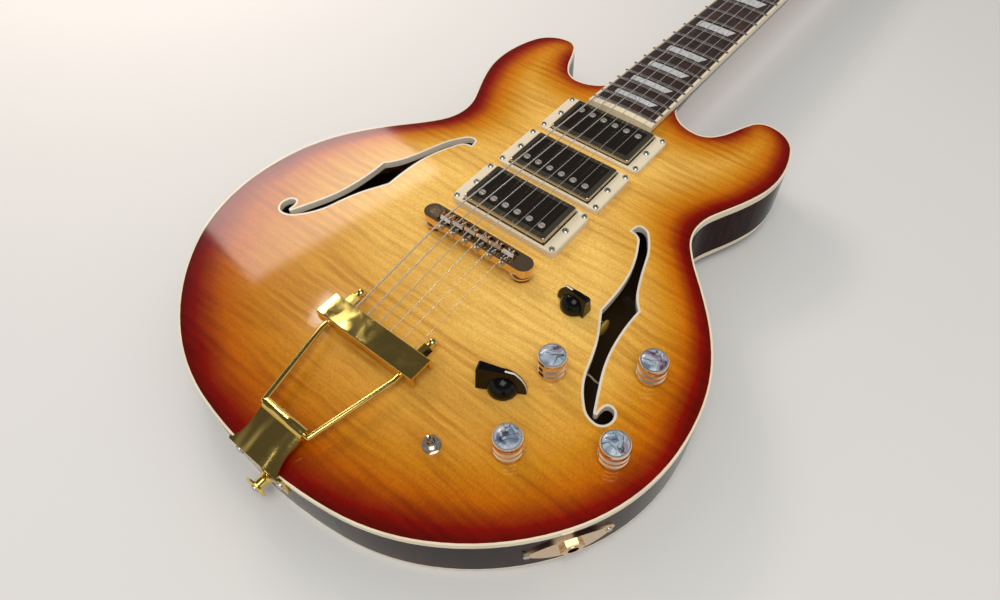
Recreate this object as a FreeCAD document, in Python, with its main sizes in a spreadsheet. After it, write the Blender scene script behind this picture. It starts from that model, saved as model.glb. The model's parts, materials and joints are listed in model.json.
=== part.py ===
"""Semi-hollow electric guitar with three covered pickups and a trapeze tailpiece.

The guitar lies on its back. +Z is up out of the top, +Y runs along the neck to the headstock and +X is the
treble side. The origin is on the centreline under the bridge line, on the flat rest face of the back.
"""
import FreeCAD, Part
import math
import os
import re
from types import SimpleNamespace

import Sketcher
from FreeCAD import Placement, Rotation, Vector

# Driving dimensions in millimetres and degrees
SIZES = dict(
    # body shell
    body_half_width=180.0,
    body_length=427.0,
    tail_reach=191.5,
    neck_joint_reach=209.5,
    neck_stub=14.0,
    rim_depth=42.0,
    back_drop=3.0,
    top_crown=1.6,
    back_crown=4.0,
    plate_thickness=5.0,
    rim_thickness=4.0,
    lining_width=5.0,
    lining_height=9.0,
    binding_width=1.2,
    top_binding_height=4.5,
    back_binding_height=2.5,
    block_half_width=52.0,
    fhole_inner=69.5,
    fhole_width=72.5,
    fhole_low=-60.0,
    fhole_length=144.5,
    fhole_binding_width=1.5,
    # neck, in its own tilted frame whose height zero is the fingerboard's crown line
    scale_length=628.65,
    neck_pitch=2.3,
    board_height=61.0,
    board_end=169.2,
    board_radius=305.0,
    board_thickness=6.0,
    board_nut_width=42.0,
    board_last_fret_width=57.0,
    board_binding_width=2.2,
    board_end_strip=5.5,
    fret_width=2.4,
    fret_height=1.0,
    fret_tang_width=0.6,
    fret_tang_depth=2.0,
    inlay_depth=1.5,
    neck_nut_depth=15.0,
    neck_body_depth=17.5,
    heel_start=262.0,
    heel_depth=37.0,
    heel_curve_reach=231.0,
    heel_curve_depth=24.0,
    tenon_width=38.0,
    tenon_depth=28.0,
    tenon_end=170.5,
    nut_thickness=5.0,
    truss_rod_radius=2.5,
    truss_rod_depth=13.5,
    truss_rod_start=225.0,
    truss_nut_gap=1.0,
    truss_nut_radius=3.5,
    truss_nut_length=10.0,
    truss_cavity_width=12.0,
    truss_cavity_depth=11.0,
    truss_cavity_start=2.0,
    truss_cavity_length=26.0,
    truss_cover_length=38.0,
    truss_cover_width=24.0,
    truss_cover_thickness=2.0,
    truss_cover_start=1.0,
    truss_cover_margin=4.5,
    truss_screw_x=8.7,
    # headstock, tilted further back at the nut
    head_pitch=12.0,
    head_length=172.0,
    head_half_width=40.0,
    head_throat_length=40.0,
    head_throat_width=110.0,
    head_throat_depth=45.0,
    head_thickness=14.0,
    head_face_thickness=1.5,
    tuner_first=38.0,
    tuner_spacing=44.0,
    tuner_inset_first=22.5,
    tuner_inset_step=3.2,
    tuner_post_radius=3.0,
    tuner_post_height=17.0,
    tuner_post_chamfer=1.0,
    tuner_hole_radius=5.0,
    tuner_bushing_radius=7.0,
    tuner_bushing_height=2.0,
    tuner_case_length=21.0,
    tuner_case_back=7.2,
    tuner_tab_length=6.0,
    tuner_tab_width=9.6,
    tuner_tab_thickness=1.5,
    tuner_screw_reach=17.0,
    tuner_case_width=16.0,
    tuner_case_height=11.0,
    tuner_case_wall=1.2,
    tuner_gear_radius=5.6,
    tuner_gear_height=4.0,
    tuner_worm_radius=2.3,
    tuner_worm_gap=0.2,
    tuner_shaft_radius=1.8,
    tuner_shaft_reach=14.0,
    tuner_collar_radius=3.2,
    tuner_button_length=15.0,
    tuner_button_width=17.0,
    tuner_button_thickness=7.0,
    # strings
    string_bridge_pitch=10.35,
    string_nut_pitch=7.1,
    string_tail_pitch=9.9,
    string_nut_action=0.5,
    string_bridge_action=3.0,
    string_thickest=1.17,
    string_thinnest=0.30,
    string_ball_radius=2.0,
    winding_gap=0.3,
    winding_top=8.5,
    # bridge
    bridge_length=90.0,
    bridge_width=13.5,
    bridge_height=7.0,
    bridge_top=60.2,
    bridge_post_spacing=74.0,
    bridge_post_radius=2.0,
    bridge_post_head=3.6,
    bridge_post_head_height=1.2,
    bridge_post_depth=22.0,
    bridge_post_length=34.0,
    bridge_trough_length=64.0,
    bridge_trough_width=10.0,
    bridge_trough_depth=4.6,
    thumbwheel_radius=8.0,
    thumbwheel_height=3.0,
    bushing_flange_radius=6.5,
    bushing_flange_height=1.0,
    bushing_radius=5.5,
    saddle_width=8.6,
    saddle_base_length=3.6,
    saddle_base_height=4.2,
    saddle_crest_width=0.5,
    saddle_string_gap=0.4,
    saddle_clearance=0.05,
    saddle_stagger=0.45,
    intonation_screw_radius=1.2,
    intonation_screw_length=12.6,
    intonation_head_radius=2.2,
    intonation_head_length=1.8,
    intonation_height=1.9,
    bore_clearance=0.1,
    # tailpiece
    crossbar_half_length=39.6,
    crossbar_front=-89.6,
    crossbar_depth=17.3,
    crossbar_top=58.1,
    crossbar_wall=2.0,
    crossbar_lip=8.5,
    crossbar_corner=1.0,
    string_hole_radius=1.4,
    string_hole_drop=4.3,
    rod_radius=1.9,
    rod_hinge_half=18.8,
    rod_bar_half=30.4,
    rod_bend_gap=5.0,
    rod_drop=4.2,
    hinge_reach=166.5,
    hinge_half_width=19.5,
    hinge_waist_half=16.0,
    hinge_flange_half=22.0,
    hinge_plate_thickness=1.5,
    hinge_corner_rise=0.6,
    hinge_barrel_half=16.5,
    hinge_screw_x=17.5,
    hinge_screw_height=35.0,
    hinge_barrel_radius=3.6,
    hinge_flange_drop=16.0,
    finial_hex_radius=3.9,
    finial_hex_length=6.5,
    finial_ball_radius=3.3,
    finial_ball_reach=2.7,
    finial_neck_radius=2.3,
    finial_neck_length=1.6,
    # pickups
    pickup_bridge_reach=44.0,
    pickup_middle_reach=95.0,
    pickup_neck_reach=146.3,
    ring_half_length=45.0,
    ring_half_width=22.0,
    ring_corner=5.0,
    ring_edge_round=1.2,
    ring_top_bridge=52.4,
    ring_top_middle=50.6,
    ring_top_neck=48.9,
    ring_screw_x=41.6,
    ring_screw_y=18.7,
    height_screw_x=39.0,
    cover_top_bridge=57.0,
    cover_top_middle=54.0,
    cover_top_neck=52.2,
    cover_half_length=35.0,
    cover_half_width=19.2,
    cover_height=14.5,
    cover_wall=0.8,
    cover_round=2.2,
    cover_edge_round=1.3,
    cover_field_inset=4.6,
    cover_field_depth=0.3,
    cover_clearance=0.7,
    pole_offset=9.2,
    pole_pitch=10.3,
    pole_radius=2.5,
    pole_chamfer=0.5,
    pole_rise=0.5,
    pole_head_height=1.8,
    pole_thread_radius=1.2,
    pole_length=17.0,
    bobbin_half_length=33.5,
    bobbin_half_width=8.2,
    bobbin_height=8.4,
    magnet_half_length=31.0,
    magnet_half_width=6.2,
    magnet_height=3.2,
    baseplate_thickness=1.5,
    ear_reach=43.0,
    ear_margin=1.2,
    ear_half_width=4.5,
    ear_drop=3.5,
    cavity_margin=1.5,
    cavity_depth=30.0,
    # small screws
    ring_screw_head=2.2,
    ring_screw_radius=1.1,
    ring_screw_length=14.0,
    height_screw_head=2.4,
    height_screw_radius=1.3,
    height_screw_length=24.0,
    small_screw_head=1.9,
    small_screw_radius=1.0,
    small_screw_length=9.0,
    screw_slot=0.7,
    screw_head_height=1.1,
    hardware_screw_head=3.2,
    hardware_screw_radius=1.7,
    hardware_screw_length=18.0,
    # controls
    knob_front_inner_x=94.4,
    knob_front_inner_y=-46.1,
    knob_front_outer_x=141.6,
    knob_front_outer_y=-13.0,
    knob_rear_inner_x=105.9,
    knob_rear_inner_y=-101.4,
    knob_rear_outer_x=152.7,
    knob_rear_outer_y=-69.2,
    knob_radius=8.8,
    knob_height=15.0,
    knob_gap=1.2,
    knob_rim=0.8,
    knob_dome=1.6,
    knob_groove=0.5,
    knob_groove_pitch=1.1,
    knob_bore_depth=11.0,
    knob_recess_radius=7.6,
    knob_recess_height=3.2,
    knob_inlay_recess=0.7,
    selector_small_x=77.6,
    selector_small_y=-0.5,
    selector_small_turn=177.0,
    selector_small_hub=8.6,
    selector_small_nose=12.0,
    selector_small_back=10.4,
    selector_small_half=4.2,
    selector_small_height=14.5,
    selector_large_x=79.2,
    selector_large_y=-72.8,
    selector_large_turn=21.0,
    selector_large_hub=9.7,
    selector_large_nose=14.5,
    selector_large_back=15.0,
    selector_large_half=5.8,
    selector_large_height=17.0,
    selector_skirt=1.6,
    selector_tip_height=2.5,
    selector_chamfer=1.2,
    selector_line_start=1.5,
    selector_line_width=1.2,
    selector_line_depth=0.3,
    selector_bore_depth=9.0,
    toggle_x=71.2,
    toggle_y=-125.6,
    toggle_nut_radius=5.6,
    toggle_nut_height=2.2,
    toggle_bushing_radius=3.1,
    toggle_bore_radius=2.4,
    toggle_pivot_drop=1.8,
    toggle_turn=-60.0,
    toggle_throw=12.0,
    toggle_bushing_rise=5.0,
    toggle_lever_radius=1.4,
    toggle_lever_tip=2.1,
    toggle_lever_length=11.0,
    toggle_ball_radius=2.3,
    toggle_pin_radius=0.6,
    toggle_pin_half=2.9,
    toggle_case_size=13.0,
    toggle_case_width=7.0,
    toggle_case_height=10.0,
    pot_radius=8.2,
    pot_height=8.5,
    pot_bushing_radius=4.2,
    pot_bore_radius=3.1,
    pot_bushing_rise=3.8,
    pot_nut_radius=6.3,
    pot_nut_height=2.0,
    control_gap=0.15,
    pot_shaft_radius=3.0,
    pot_washer_radius=6.8,
    pot_washer_height=0.9,
    rotary_radius=12.5,
    rotary_height=14.0,
    # jack on the treble rim
    jack_reach=-115.0,
    jack_height=24.0,
    jack_plate_length=52.0,
    jack_plate_width=23.0,
    jack_plate_thickness=1.5,
    jack_screw_half=19.5,
    jack_nut_radius=7.0,
    jack_nut_height=2.4,
    jack_barrel_radius=4.8,
    jack_bore_radius=3.25,
    jack_length=20.0,
    jack_seat_radius=6.5,
    # strap buttons
    button_base_radius=5.0,
    button_neck_radius=3.2,
    button_flange_radius=7.6,
    button_length=9.5,
    button_flange_thickness=2.4,
    button_height=21.0,
    heel_button_start=212.0,
    heel_button_turn=30.0,
    heel_button_sink=1.0,
    # one overrun for every cut
    overrun=2.0,
)

# Body outline from the tail to the heel on the treble side: share of the half width, share of the length
# from the tail, heading in degrees
BODY_SHARES = (
    (0.000, 0.000, 0.0),
    (0.578, 0.056, 31.0),
    (1.000, 0.343, 90.0),
    (0.906, 0.502, 120.0),
    (0.700, 0.612, 134.0),
    (0.586, 0.699, 90.0),
    (0.644, 0.772, 64.0),
    (0.714, 0.879, 90.0),
    (0.533, 1.000, 180.0),
    (0.425, 0.947, 250.0),
    (0.306, 0.8986, 180.0),
)
HEEL_HEADING = 112.0

# F-hole outline, clockwise from the inner notch: share of the width, share of the length,
# heading in, heading out
FHOLE_SHARES = (
    (0.310, 0.471, 118.0, 88.0),
    (0.303, 0.644, 95.0, 95.0),
    (0.172, 0.872, 117.0, 117.0),
    (0.100, 0.925, 150.0, 150.0),
    (0.010, 0.935, 172.0, 85.0),
    (0.083, 1.000, 0.0, 0.0),
    (0.265, 0.917, -58.0, -58.0),
    (0.379, 0.775, -71.0, -71.0),
    (0.600, 0.570, -42.0, -93.0),
    (0.628, 0.339, -80.0, -80.0),
    (0.844, 0.048, -65.0, 97.0),
    (0.910, 0.114, 0.0, 0.0),
    (1.000, 0.059, -90.0, -90.0),
    (0.890, 0.000, -180.0, -180.0),
    (0.641, 0.093, -236.0, -236.0),
    (0.483, 0.298, -250.0, -250.0),
)

# Headstock outline on the treble side: share of the half width, share of the length, heading
HEAD_SHARES = (
    (0.530, 0.000, 90.0),
    (0.900, 0.190, 72.0),
    (1.000, 0.860, 90.0),
    (0.760, 0.985, 170.0),
    (0.320, 0.955, 195.0),
    (0.000, 1.000, 180.0),
)

FRET_COUNT = 22
INLAY_FRETS = (1, 3, 5, 7, 9, 12, 15, 17, 19, 21)
STRING_COUNT = 6
WINDING_COUNT = 4
KNOB_GROOVE_ROWS = ((3, 0.18), (3, 0.52))
SIDES = ((-1, "bass"), (1, "treble"))
PICKUPS = (("bridge", -1), ("middle", -1), ("neck", 1))
KNOBS = ("front_inner", "front_outer", "rear_inner", "rear_outer")
SELECTORS = ("small", "large")

INLAY_SHARES = dict(start=0.24, end=0.76, bass=0.64, treble_low=0.52, treble_high=0.66)
COVER_SHARES = ((1.0, 0.0, 90.0), (0.62, 0.55, 112.0), (0.42, 0.88, 90.0), (0.0, 1.0, 180.0))
LEVER_TIP_SHARES = ((1.0, 1.0), (0.8, 0.4), (0.0, 0.0))
STRING_BEND_SHARE = 1.15
STRING_GAP_SHARE = 0.4
WINDING_PITCH_SHARE = 1.8
NUT_SLOT_SHARE = 1.2
SELECTOR_TOP_SHARE = 0.5
SELECTOR_TIP_SHARE = 0.25
SELECTOR_BEAK_SHARE = 0.5
SELECTOR_BULGE_SHARE = 0.1

TOP_RADIUS = "(body_length^2/(8*top_crown)+top_crown/2)"
DOME_MIDDLE = "(body_length/2-tail_reach)"
HEAD_BACK = "(-head_thickness-head_face_thickness)"
TUNER_AXIS = HEAD_BACK + "-tuner_case_height/2"

document = FreeCAD.newDocument("SemiHollowGuitar")
sheet = document.addObject("Spreadsheet::Sheet", "Sizes")
for row, (alias, value) in enumerate(SIZES.items(), start=1):
    sheet.set("A%d" % row, alias)
    sheet.set("B%d" % row, str(value))
    sheet.setAlias("B%d" % row, alias)
document.recompute()
size = SimpleNamespace(**{alias: float(getattr(sheet, alias)) for alias in SIZES})
nodes = []


# Expressions and placement

def bound(text):
    """Turn sheet names in a formula into references to the sheet."""
    def cell(word):
        return "Sizes." + word[0] if word[0] in SIZES else word[0]

    return re.sub(r"[a-z][a-z_]*", cell, str(text))


def worth(text):
    """Value of a formula of sheet names."""
    return float(sheet.evalExpression(bound(text)))


def place(thing, x=0, y=0, z=0, turn=None):
    """Bind the position of an object to formulas of sheet names, after an optional turn."""
    if turn is not None:
        thing.Placement = Placement(Vector(), turn)
    for axis, text in zip("xyz", (x, y, z)):
        if text != 0:
            thing.setExpression("Placement.Base." + axis, bound(text))
    return thing


def top_level(x, y):
    """Formula for the height of the arched top over a point given by formulas."""
    drop = "%s-sqrt(%s^2-(%s)^2-(%s-%s)^2)" % (TOP_RADIUS, TOP_RADIUS, x, y, DOME_MIDDLE)
    return "(back_drop+rim_depth+top_crown-(%s))" % drop


def primitive(kind, name, dimensions, x=0, y=0, z=0, turn=None):
    """Add a Part primitive whose dimensions and position are formulas of sheet names."""
    thing = document.addObject("Part::" + kind, name)
    for dimension, text in dimensions.items():
        thing.setExpression(dimension, bound(text))
    return place(thing, x, y, z, turn)


def box(name, x, y, z, low):
    return primitive("Box", name, dict(Length=x, Width=y, Height=z), *low)


def cylinder(name, radius, height, at, turn=None):
    return primitive("Cylinder", name, dict(Radius=radius, Height=height), *at, turn=turn)


def join(name, parts):
    thing = document.addObject("Part::MultiFuse", name)
    thing.Shapes = list(parts)
    return thing


def cut(name, base, tool):
    thing = document.addObject("Part::Cut", name)
    thing.Base = base
    thing.Tool = tool
    return thing


def group(name, parts):
    thing = document.addObject("Part::Compound", name)
    thing.Links = list(parts)
    return thing


def feature(name, shape, placement=None):
    """Keep a shape worked out in code as an object of the document."""
    thing = document.addObject("Part::Feature", name)
    thing.Shape = shape
    if placement is not None:
        thing.Placement = placement
    return thing


def node(thing, label):
    """Name a finished sub-part and list it for export."""
    thing.Label = label
    nodes.append(thing)
    return thing


def shapes(things):
    document.recompute()
    return [thing.Shape for thing in things]


# Sketched bodies

def sketch_on(body, role, name, corners):
    """Closed polygon on an origin plane, each corner held by two bound distances from the origin."""
    sketch = body.newObject("Sketcher::SketchObject", name)
    plane = [origin for origin in body.Origin.OriginFeatures if origin.Role == role][0]
    sketch.AttachmentSupport = [(plane, "")]
    sketch.MapMode = "FlatFace"
    count = len(corners)
    points = [Vector(worth(across), worth(up), 0) for across, up in corners]
    sketch.addGeometry([Part.LineSegment(points[index - 1], points[index]) for index in range(count)])
    rules = [Sketcher.Constraint("Coincident", index - 1, 2, index, 1) for index in range(1, count)]
    rules.append(Sketcher.Constraint("Coincident", count - 1, 2, 0, 1))
    for index in range(count):
        rules.append(Sketcher.Constraint("DistanceX", -1, 1, index, 2, points[index].x))
        rules.append(Sketcher.Constraint("DistanceY", -1, 1, index, 2, points[index].y))
    sketch.addConstraint(rules)
    for index, (across, up) in enumerate(corners):
        sketch.setExpression("Constraints[%d]" % (count + 2 * index), bound(across))
        sketch.setExpression("Constraints[%d]" % (count + 2 * index + 1), bound(up))
    return sketch


def turned(name, corners, x=0, y=0, z=0, turn=None):
    """Body of revolution about its own upright axis, from corners of radius and height."""
    body = document.addObject("PartDesign::Body", name)
    sketch = sketch_on(body, "XZ_Plane", name + "_profile", corners)
    revolution = body.newObject("PartDesign::Revolution", name + "_turn")
    revolution.Profile = sketch
    revolution.ReferenceAxis = (sketch, ["V_Axis"])
    revolution.Angle = 360
    body.Tip = revolution
    return place(body, x, y, z, turn)


def padded(name, role, corners, length, x=0, y=0, z=0, turn=None, both=False):
    """Body padded square to one of its origin planes."""
    body = document.addObject("PartDesign::Body", name)
    sketch = sketch_on(body, role, name + "_profile", corners)
    pad = body.newObject("PartDesign::Pad", name + "_pad")
    pad.Profile = sketch
    pad.Midplane = both
    pad.setExpression("Length", bound(length))
    body.Tip = pad
    return place(body, x, y, z, turn)


def round_body(body, radius, chosen):
    """Fillet the edges of a body that a test picks, with a bound radius."""
    document.recompute()
    base = body.Tip
    edges = ["Edge%d" % number for number, edge in enumerate(base.Shape.Edges, start=1) if chosen(edge)]
    fillet = body.newObject("PartDesign::Fillet", body.Name + "_fillet")
    fillet.Base = (base, edges)
    fillet.setExpression("Radius", bound(radius))
    body.Tip = fillet
    return body


# Curves made of tangent arcs

def direction(heading):
    return Vector(math.cos(math.radians(heading)), math.sin(math.radians(heading)), 0)


def tangent_arc(start, along, end):
    """Arc that leaves the start in a given direction and reaches the end, or a line where they agree."""
    chord = end - start
    across = Vector(-chord.y, chord.x, 0)
    lean = math.atan2(along.dot(across), along.dot(chord))
    if abs(math.degrees(lean)) < 0.05:
        return Part.LineSegment(start, end).toShape()
    middle = start + chord / 2 + across * (math.tan(lean / 2) / 2)
    return Part.Arc(start, middle, end).toShape()


def two_arcs(start, first, end, last):
    """Two arcs that leave one point and reach another with the given headings."""
    leave, arrive = direction(first), direction(last)
    chord = end - start
    spread = 2 * (1 - leave.dot(arrive))
    pull = chord.dot(leave + arrive)
    if spread < 1e-6:
        reach = chord.dot(chord) / (2 * pull)
    else:
        reach = (math.sqrt(pull ** 2 + spread * chord.dot(chord)) - pull) / spread
    near, far = start + leave * reach, end - arrive * reach
    middle = (near + far) / 2
    return [tangent_arc(start, leave, middle), tangent_arc(middle, far - near, end)]


def arc_chain(stations):
    """Tangent arcs through stations of point, heading in and heading out."""
    edges = []
    for (start, _, first), (end, last, _) in zip(stations[:-1], stations[1:]):
        edges += two_arcs(start, first, end, last)
    return edges


def flipped(shape):
    return shape.mirror(Vector(), Vector(1, 0, 0))


def closed_face(edges):
    return Part.Face(Part.Wire(Part.sortEdges(edges)[0]))


# Surfaces of the arched top and back

def dome_center(side, depth=0.0):
    """Radius and centre height of the sphere that shapes the top (side 1) or the back (side -1)."""
    crown = size.top_crown if side > 0 else size.back_crown
    half = size.body_length / 2
    radius = half ** 2 / (2 * crown) + crown / 2
    edge = size.back_drop + (size.rim_depth if side > 0 else 0)
    return radius - depth, edge + side * (crown - radius)


def dome_middle():
    return size.body_length / 2 - size.tail_reach


def dome(side, depth=0.0):
    radius, height = dome_center(side, depth)
    ball = Part.makeSphere(radius, Vector(), Vector(0, 1, 0))
    ball.rotate(Vector(), Vector(0, 1, 0), 45)
    ball.translate(Vector(0, dome_middle(), height))
    return ball


def dome_height(side, x, y, depth=0.0):
    """Height of the top or back surface over a point of the plan."""
    radius, height = dome_center(side, depth)
    return height + side * math.sqrt(radius ** 2 - x ** 2 - (y - dome_middle()) ** 2)


def top_at(x, y):
    return dome_height(1, x, y)


# Body shell

def body_stations():
    points = []
    for across, along, heading in BODY_SHARES:
        point = Vector(across * size.body_half_width, along * size.body_length - size.tail_reach, 0)
        points.append((point, heading, heading))
    heel = Vector(size.board_last_fret_width / 2, size.neck_joint_reach, 0)
    points.append((heel, HEEL_HEADING, HEEL_HEADING))
    return points


def body_wire():
    edges = arc_chain(body_stations())
    half = size.board_last_fret_width / 2
    stub = size.neck_joint_reach + size.neck_stub
    edges.append(Part.LineSegment(Vector(half, size.neck_joint_reach, 0), Vector(half, stub, 0)).toShape())
    edges += [flipped(edge) for edge in edges]
    edges.append(Part.LineSegment(Vector(-half, stub, 0), Vector(half, stub, 0)).toShape())
    return Part.Wire(Part.sortEdges(edges)[0])


def body_prism(inset, low, high):
    """Upright slab of the body's plan drawn in by an inset, cut off square at the neck joint."""
    wire = body_outline if inset == 0 else body_outline.makeOffset2D(-inset)
    face = Part.Face(wire)
    face.translate(Vector(0, 0, low))
    slab = face.extrude(Vector(0, 0, high - low))
    half = size.board_last_fret_width / 2 + size.overrun
    stub = slab_box(
        -half, half, size.neck_joint_reach, size.body_length, low - size.overrun, high + size.overrun)
    return slab.cut(stub)


def fhole_face(inset=0.0):
    points = []
    for across, along, heading_in, heading_out in FHOLE_SHARES:
        point = Vector(
            size.fhole_inner + across * size.fhole_width, size.fhole_low + along * size.fhole_length, 0)
        points.append((point, heading_in, heading_out))
    points.append(points[0])
    wire = Part.Wire(Part.sortEdges(arc_chain(points))[0])
    if inset:
        wire = wire.makeOffset2D(-inset)
    return Part.Face(wire)


def fhole_prism(inset=0.0):
    face = fhole_face(inset)
    face.translate(Vector(0, 0, size.back_drop + size.rim_depth - 2 * size.plate_thickness))
    return face.extrude(Vector(0, 0, 3 * size.plate_thickness))


def slab_box(x_low, x_high, y_low, y_high, z_low, z_high):
    return Part.makeBox(x_high - x_low, y_high - y_low, z_high - z_low, Vector(x_low, y_low, z_low))


def rod(radius, start, end):
    return Part.makeCylinder(radius, (end - start).Length, start, end - start)


edge_top = size.back_drop + size.rim_depth
apex = edge_top + size.top_crown
body_outline = body_wire()
outer_ball = dome(1)
plate_under = dome(1, size.plate_thickness)
back_ball = dome(-1)
back_inner = dome(-1, size.plate_thickness)


def make_top_plate():
    slab = body_prism(size.binding_width, edge_top - 2 * size.plate_thickness, apex + size.overrun)
    plate = slab.common(outer_ball).cut(plate_under)
    hole = fhole_prism()
    return plate.cut(Part.makeCompound([hole, flipped(hole)]))


def make_fhole_bindings():
    strip = fhole_prism().cut(fhole_prism(size.fhole_binding_width))
    strip = strip.common(outer_ball).cut(plate_under)
    return Part.makeCompound([strip, flipped(strip)])


def make_back_plate():
    slab = body_prism(size.binding_width, 0, size.back_drop + 2 * size.plate_thickness)
    return slab.common(back_ball).cut(back_inner)


def binding_ring(low, high):
    ring = body_prism(0, low, high).cut(body_prism(size.binding_width, low, high))
    half = size.board_last_fret_width / 2
    joint = size.neck_joint_reach
    return ring.cut(slab_box(-half, half, joint - 3 * size.binding_width, joint + size.overrun, low, high))


def make_bindings():
    top = binding_ring(edge_top - size.top_binding_height, apex + size.overrun).common(outer_ball)
    back = binding_ring(0, size.back_drop + size.back_binding_height).common(back_ball)
    return Part.makeCompound([top, back])


def cavity_between(inset):
    """Space inside the plates and within an inset of the plan."""
    return body_prism(inset, 0, apex).common(plate_under).common(back_inner)


def make_rim(bindings):
    shell = body_prism(0, 0, apex).common(outer_ball).common(back_ball)
    inner = body_prism(size.rim_thickness, 0, apex)
    rim = shell.cut(inner)
    plates = body_prism(size.binding_width, 0, apex)
    rim = rim.cut(plates.cut(plate_under)).cut(plates.cut(back_inner))
    return rim.cut(bindings)


def make_linings():
    strip = cavity_between(size.rim_thickness)
    strip = strip.cut(body_prism(size.rim_thickness + size.lining_width, 0, apex))
    block = slab_box(
        -size.block_half_width, size.block_half_width, -size.body_length, size.body_length, 0, apex)
    strip = strip.cut(block)
    low = size.back_drop + size.plate_thickness + size.lining_height
    high = edge_top - size.plate_thickness - size.lining_height
    width = size.body_length
    return strip.cut(slab_box(-width, width, -width, width, low, high))


def make_block():
    block = slab_box(
        -size.block_half_width, size.block_half_width, -size.body_length, size.body_length, 0, apex)
    return cavity_between(size.rim_thickness).common(block)


# Neck in its own frame

def neck_placement():
    tilt = Rotation(Vector(1, 0, 0), -size.neck_pitch)
    return Placement(Vector(0, 0, size.board_height), tilt)


def head_placement():
    """Headstock frame: origin on the face behind the nut, Y along the face."""
    seat = Vector(0, size.scale_length + size.nut_thickness, -size.board_thickness)
    tilt = Rotation(Vector(1, 0, 0), -size.head_pitch)
    return neck_placement().multiply(Placement(seat, tilt))


def moved(shape, placement):
    """Copy of a shape carried by a placement."""
    copy = shape.copy()
    copy.Placement = placement.multiply(copy.Placement)
    return copy


def board_width(reach):
    last = fret_reach(FRET_COUNT)
    slope = (size.board_last_fret_width - size.board_nut_width) / (size.scale_length - last)
    return size.board_nut_width + slope * (size.scale_length - reach)


def fret_reach(number):
    """Distance of a fret from the bridge line."""
    return size.scale_length / 2 ** (number / 12)


def board_crown(lift=0.0):
    """Cylinder along the neck whose top line is the fingerboard's crown, raised by a lift."""
    start = Vector(0, 0, -size.board_radius)
    reach = size.scale_length + size.head_length
    return Part.makeCylinder(size.board_radius + lift, reach, start, Vector(0, 1, 0))


def board_slab(start, end, inset, low, high):
    """Tapered slab of the fingerboard's plan between two distances from the bridge line."""
    corners = []
    for side, reach in ((-1, start), (1, start), (1, end), (-1, end)):
        corners.append(Vector(side * (board_width(reach) / 2 - inset), reach, low))
    corners.append(corners[0])
    return Part.Face(Part.makePolygon(corners)).extrude(Vector(0, 0, high - low))


def under_neck(reach, width, depth):
    """Half-oval section below the fingerboard."""
    oval = Part.Ellipse(Vector(), max(depth, width / 2), min(depth, width / 2))
    if depth > width / 2:
        oval.rotate(Placement(Vector(), Rotation(Vector(0, 0, 1), -90)))
        curve = Part.ArcOfEllipse(oval, -math.pi / 2, math.pi / 2)
    else:
        curve = Part.ArcOfEllipse(oval, math.pi, 2 * math.pi)
    arc = curve.toShape()
    ends = [vertex.Point for vertex in arc.Vertexes]
    wire = Part.Wire([arc, Part.LineSegment(ends[1], ends[0]).toShape()])
    wire.Placement = Placement(Vector(0, reach, -size.board_thickness), Rotation(Vector(1, 0, 0), 90))
    return wire


def neck_section(reach, depth):
    return under_neck(reach, board_width(reach), depth)


def fret_crown(reach):
    """Rounded crown bent round the fingerboard's arch, with its tang."""
    half = size.fret_width / 2
    start = Vector(0, reach - half, 0)
    middle = Vector(0, reach, size.fret_height)
    end = Vector(0, reach + half, 0)
    edges = [Part.Arc(start, middle, end).toShape(), Part.LineSegment(end, start).toShape()]
    crown = Part.Face(Part.Wire(edges))
    axis = Vector(0, 0, -size.board_radius)
    spread = math.degrees(board_width(reach) / size.board_radius)
    crown.rotate(axis, Vector(0, 1, 0), -spread / 2)
    crown = crown.revolve(axis, Vector(0, 1, 0), spread)
    trim = board_slab(reach - half, reach + half, 0, -size.board_thickness, 2 * size.fret_height)
    inner = board_width(reach) / 2 - size.board_binding_width
    half_tang = size.fret_tang_width / 2
    tang = slab_box(
        -inner, inner, reach - half_tang, reach + half_tang, -size.fret_tang_depth, size.fret_height)
    return crown.common(trim).fuse(tang.common(board_crown(size.fret_height / 2)))


def inlay_block(number):
    """Block inlay with a slanted treble end, set in the space on the nut side of a fret."""
    near, far = fret_reach(number), fret_reach(number - 1)
    half = board_width((near + far) / 2) / 2
    low = near + (far - near) * INLAY_SHARES["start"]
    high = near + (far - near) * INLAY_SHARES["end"]
    bass = -INLAY_SHARES["bass"] * half
    corners = [
        Vector(bass, low, -size.inlay_depth),
        Vector(INLAY_SHARES["treble_low"] * half, low, -size.inlay_depth),
        Vector(INLAY_SHARES["treble_high"] * half, high, -size.inlay_depth),
        Vector(bass, high, -size.inlay_depth)]
    corners.append(corners[0])
    block = Part.Face(Part.makePolygon(corners)).extrude(Vector(0, 0, size.inlay_depth + size.overrun))
    return block.common(board_crown())


def make_board_parts():
    """Fingerboard core, its binding strips, the frets and the inlays."""
    blank = board_slab(size.board_end, size.scale_length, 0, -size.board_thickness, size.overrun)
    blank = blank.common(board_crown())
    inner = board_slab(
        size.board_end + size.board_end_strip, size.scale_length + size.overrun, size.board_binding_width,
        -size.board_thickness - size.overrun, 2 * size.overrun)
    frets = [fret_crown(fret_reach(number)) for number in range(1, FRET_COUNT + 1)]
    inlays = [inlay_block(number) for number in INLAY_FRETS]
    core = blank.common(inner).cut(Part.makeCompound(frets + inlays))
    return core, blank.cut(inner), Part.makeCompound(frets), Part.makeCompound(inlays)


def head_plan():
    points = []
    for across, along, heading in HEAD_SHARES:
        points.append((Vector(across * size.head_half_width, along * size.head_length, 0), heading, heading))
    edges = arc_chain(points)
    edges += [flipped(edge) for edge in edges]
    start = points[0][0]
    edges.append(Part.LineSegment(Vector(-start.x, start.y, 0), start).toShape())
    return closed_face(edges)


def head_slab(low, high):
    face = head_plan()
    face.translate(Vector(0, 0, low))
    return face.extrude(Vector(0, 0, high - low))


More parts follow.
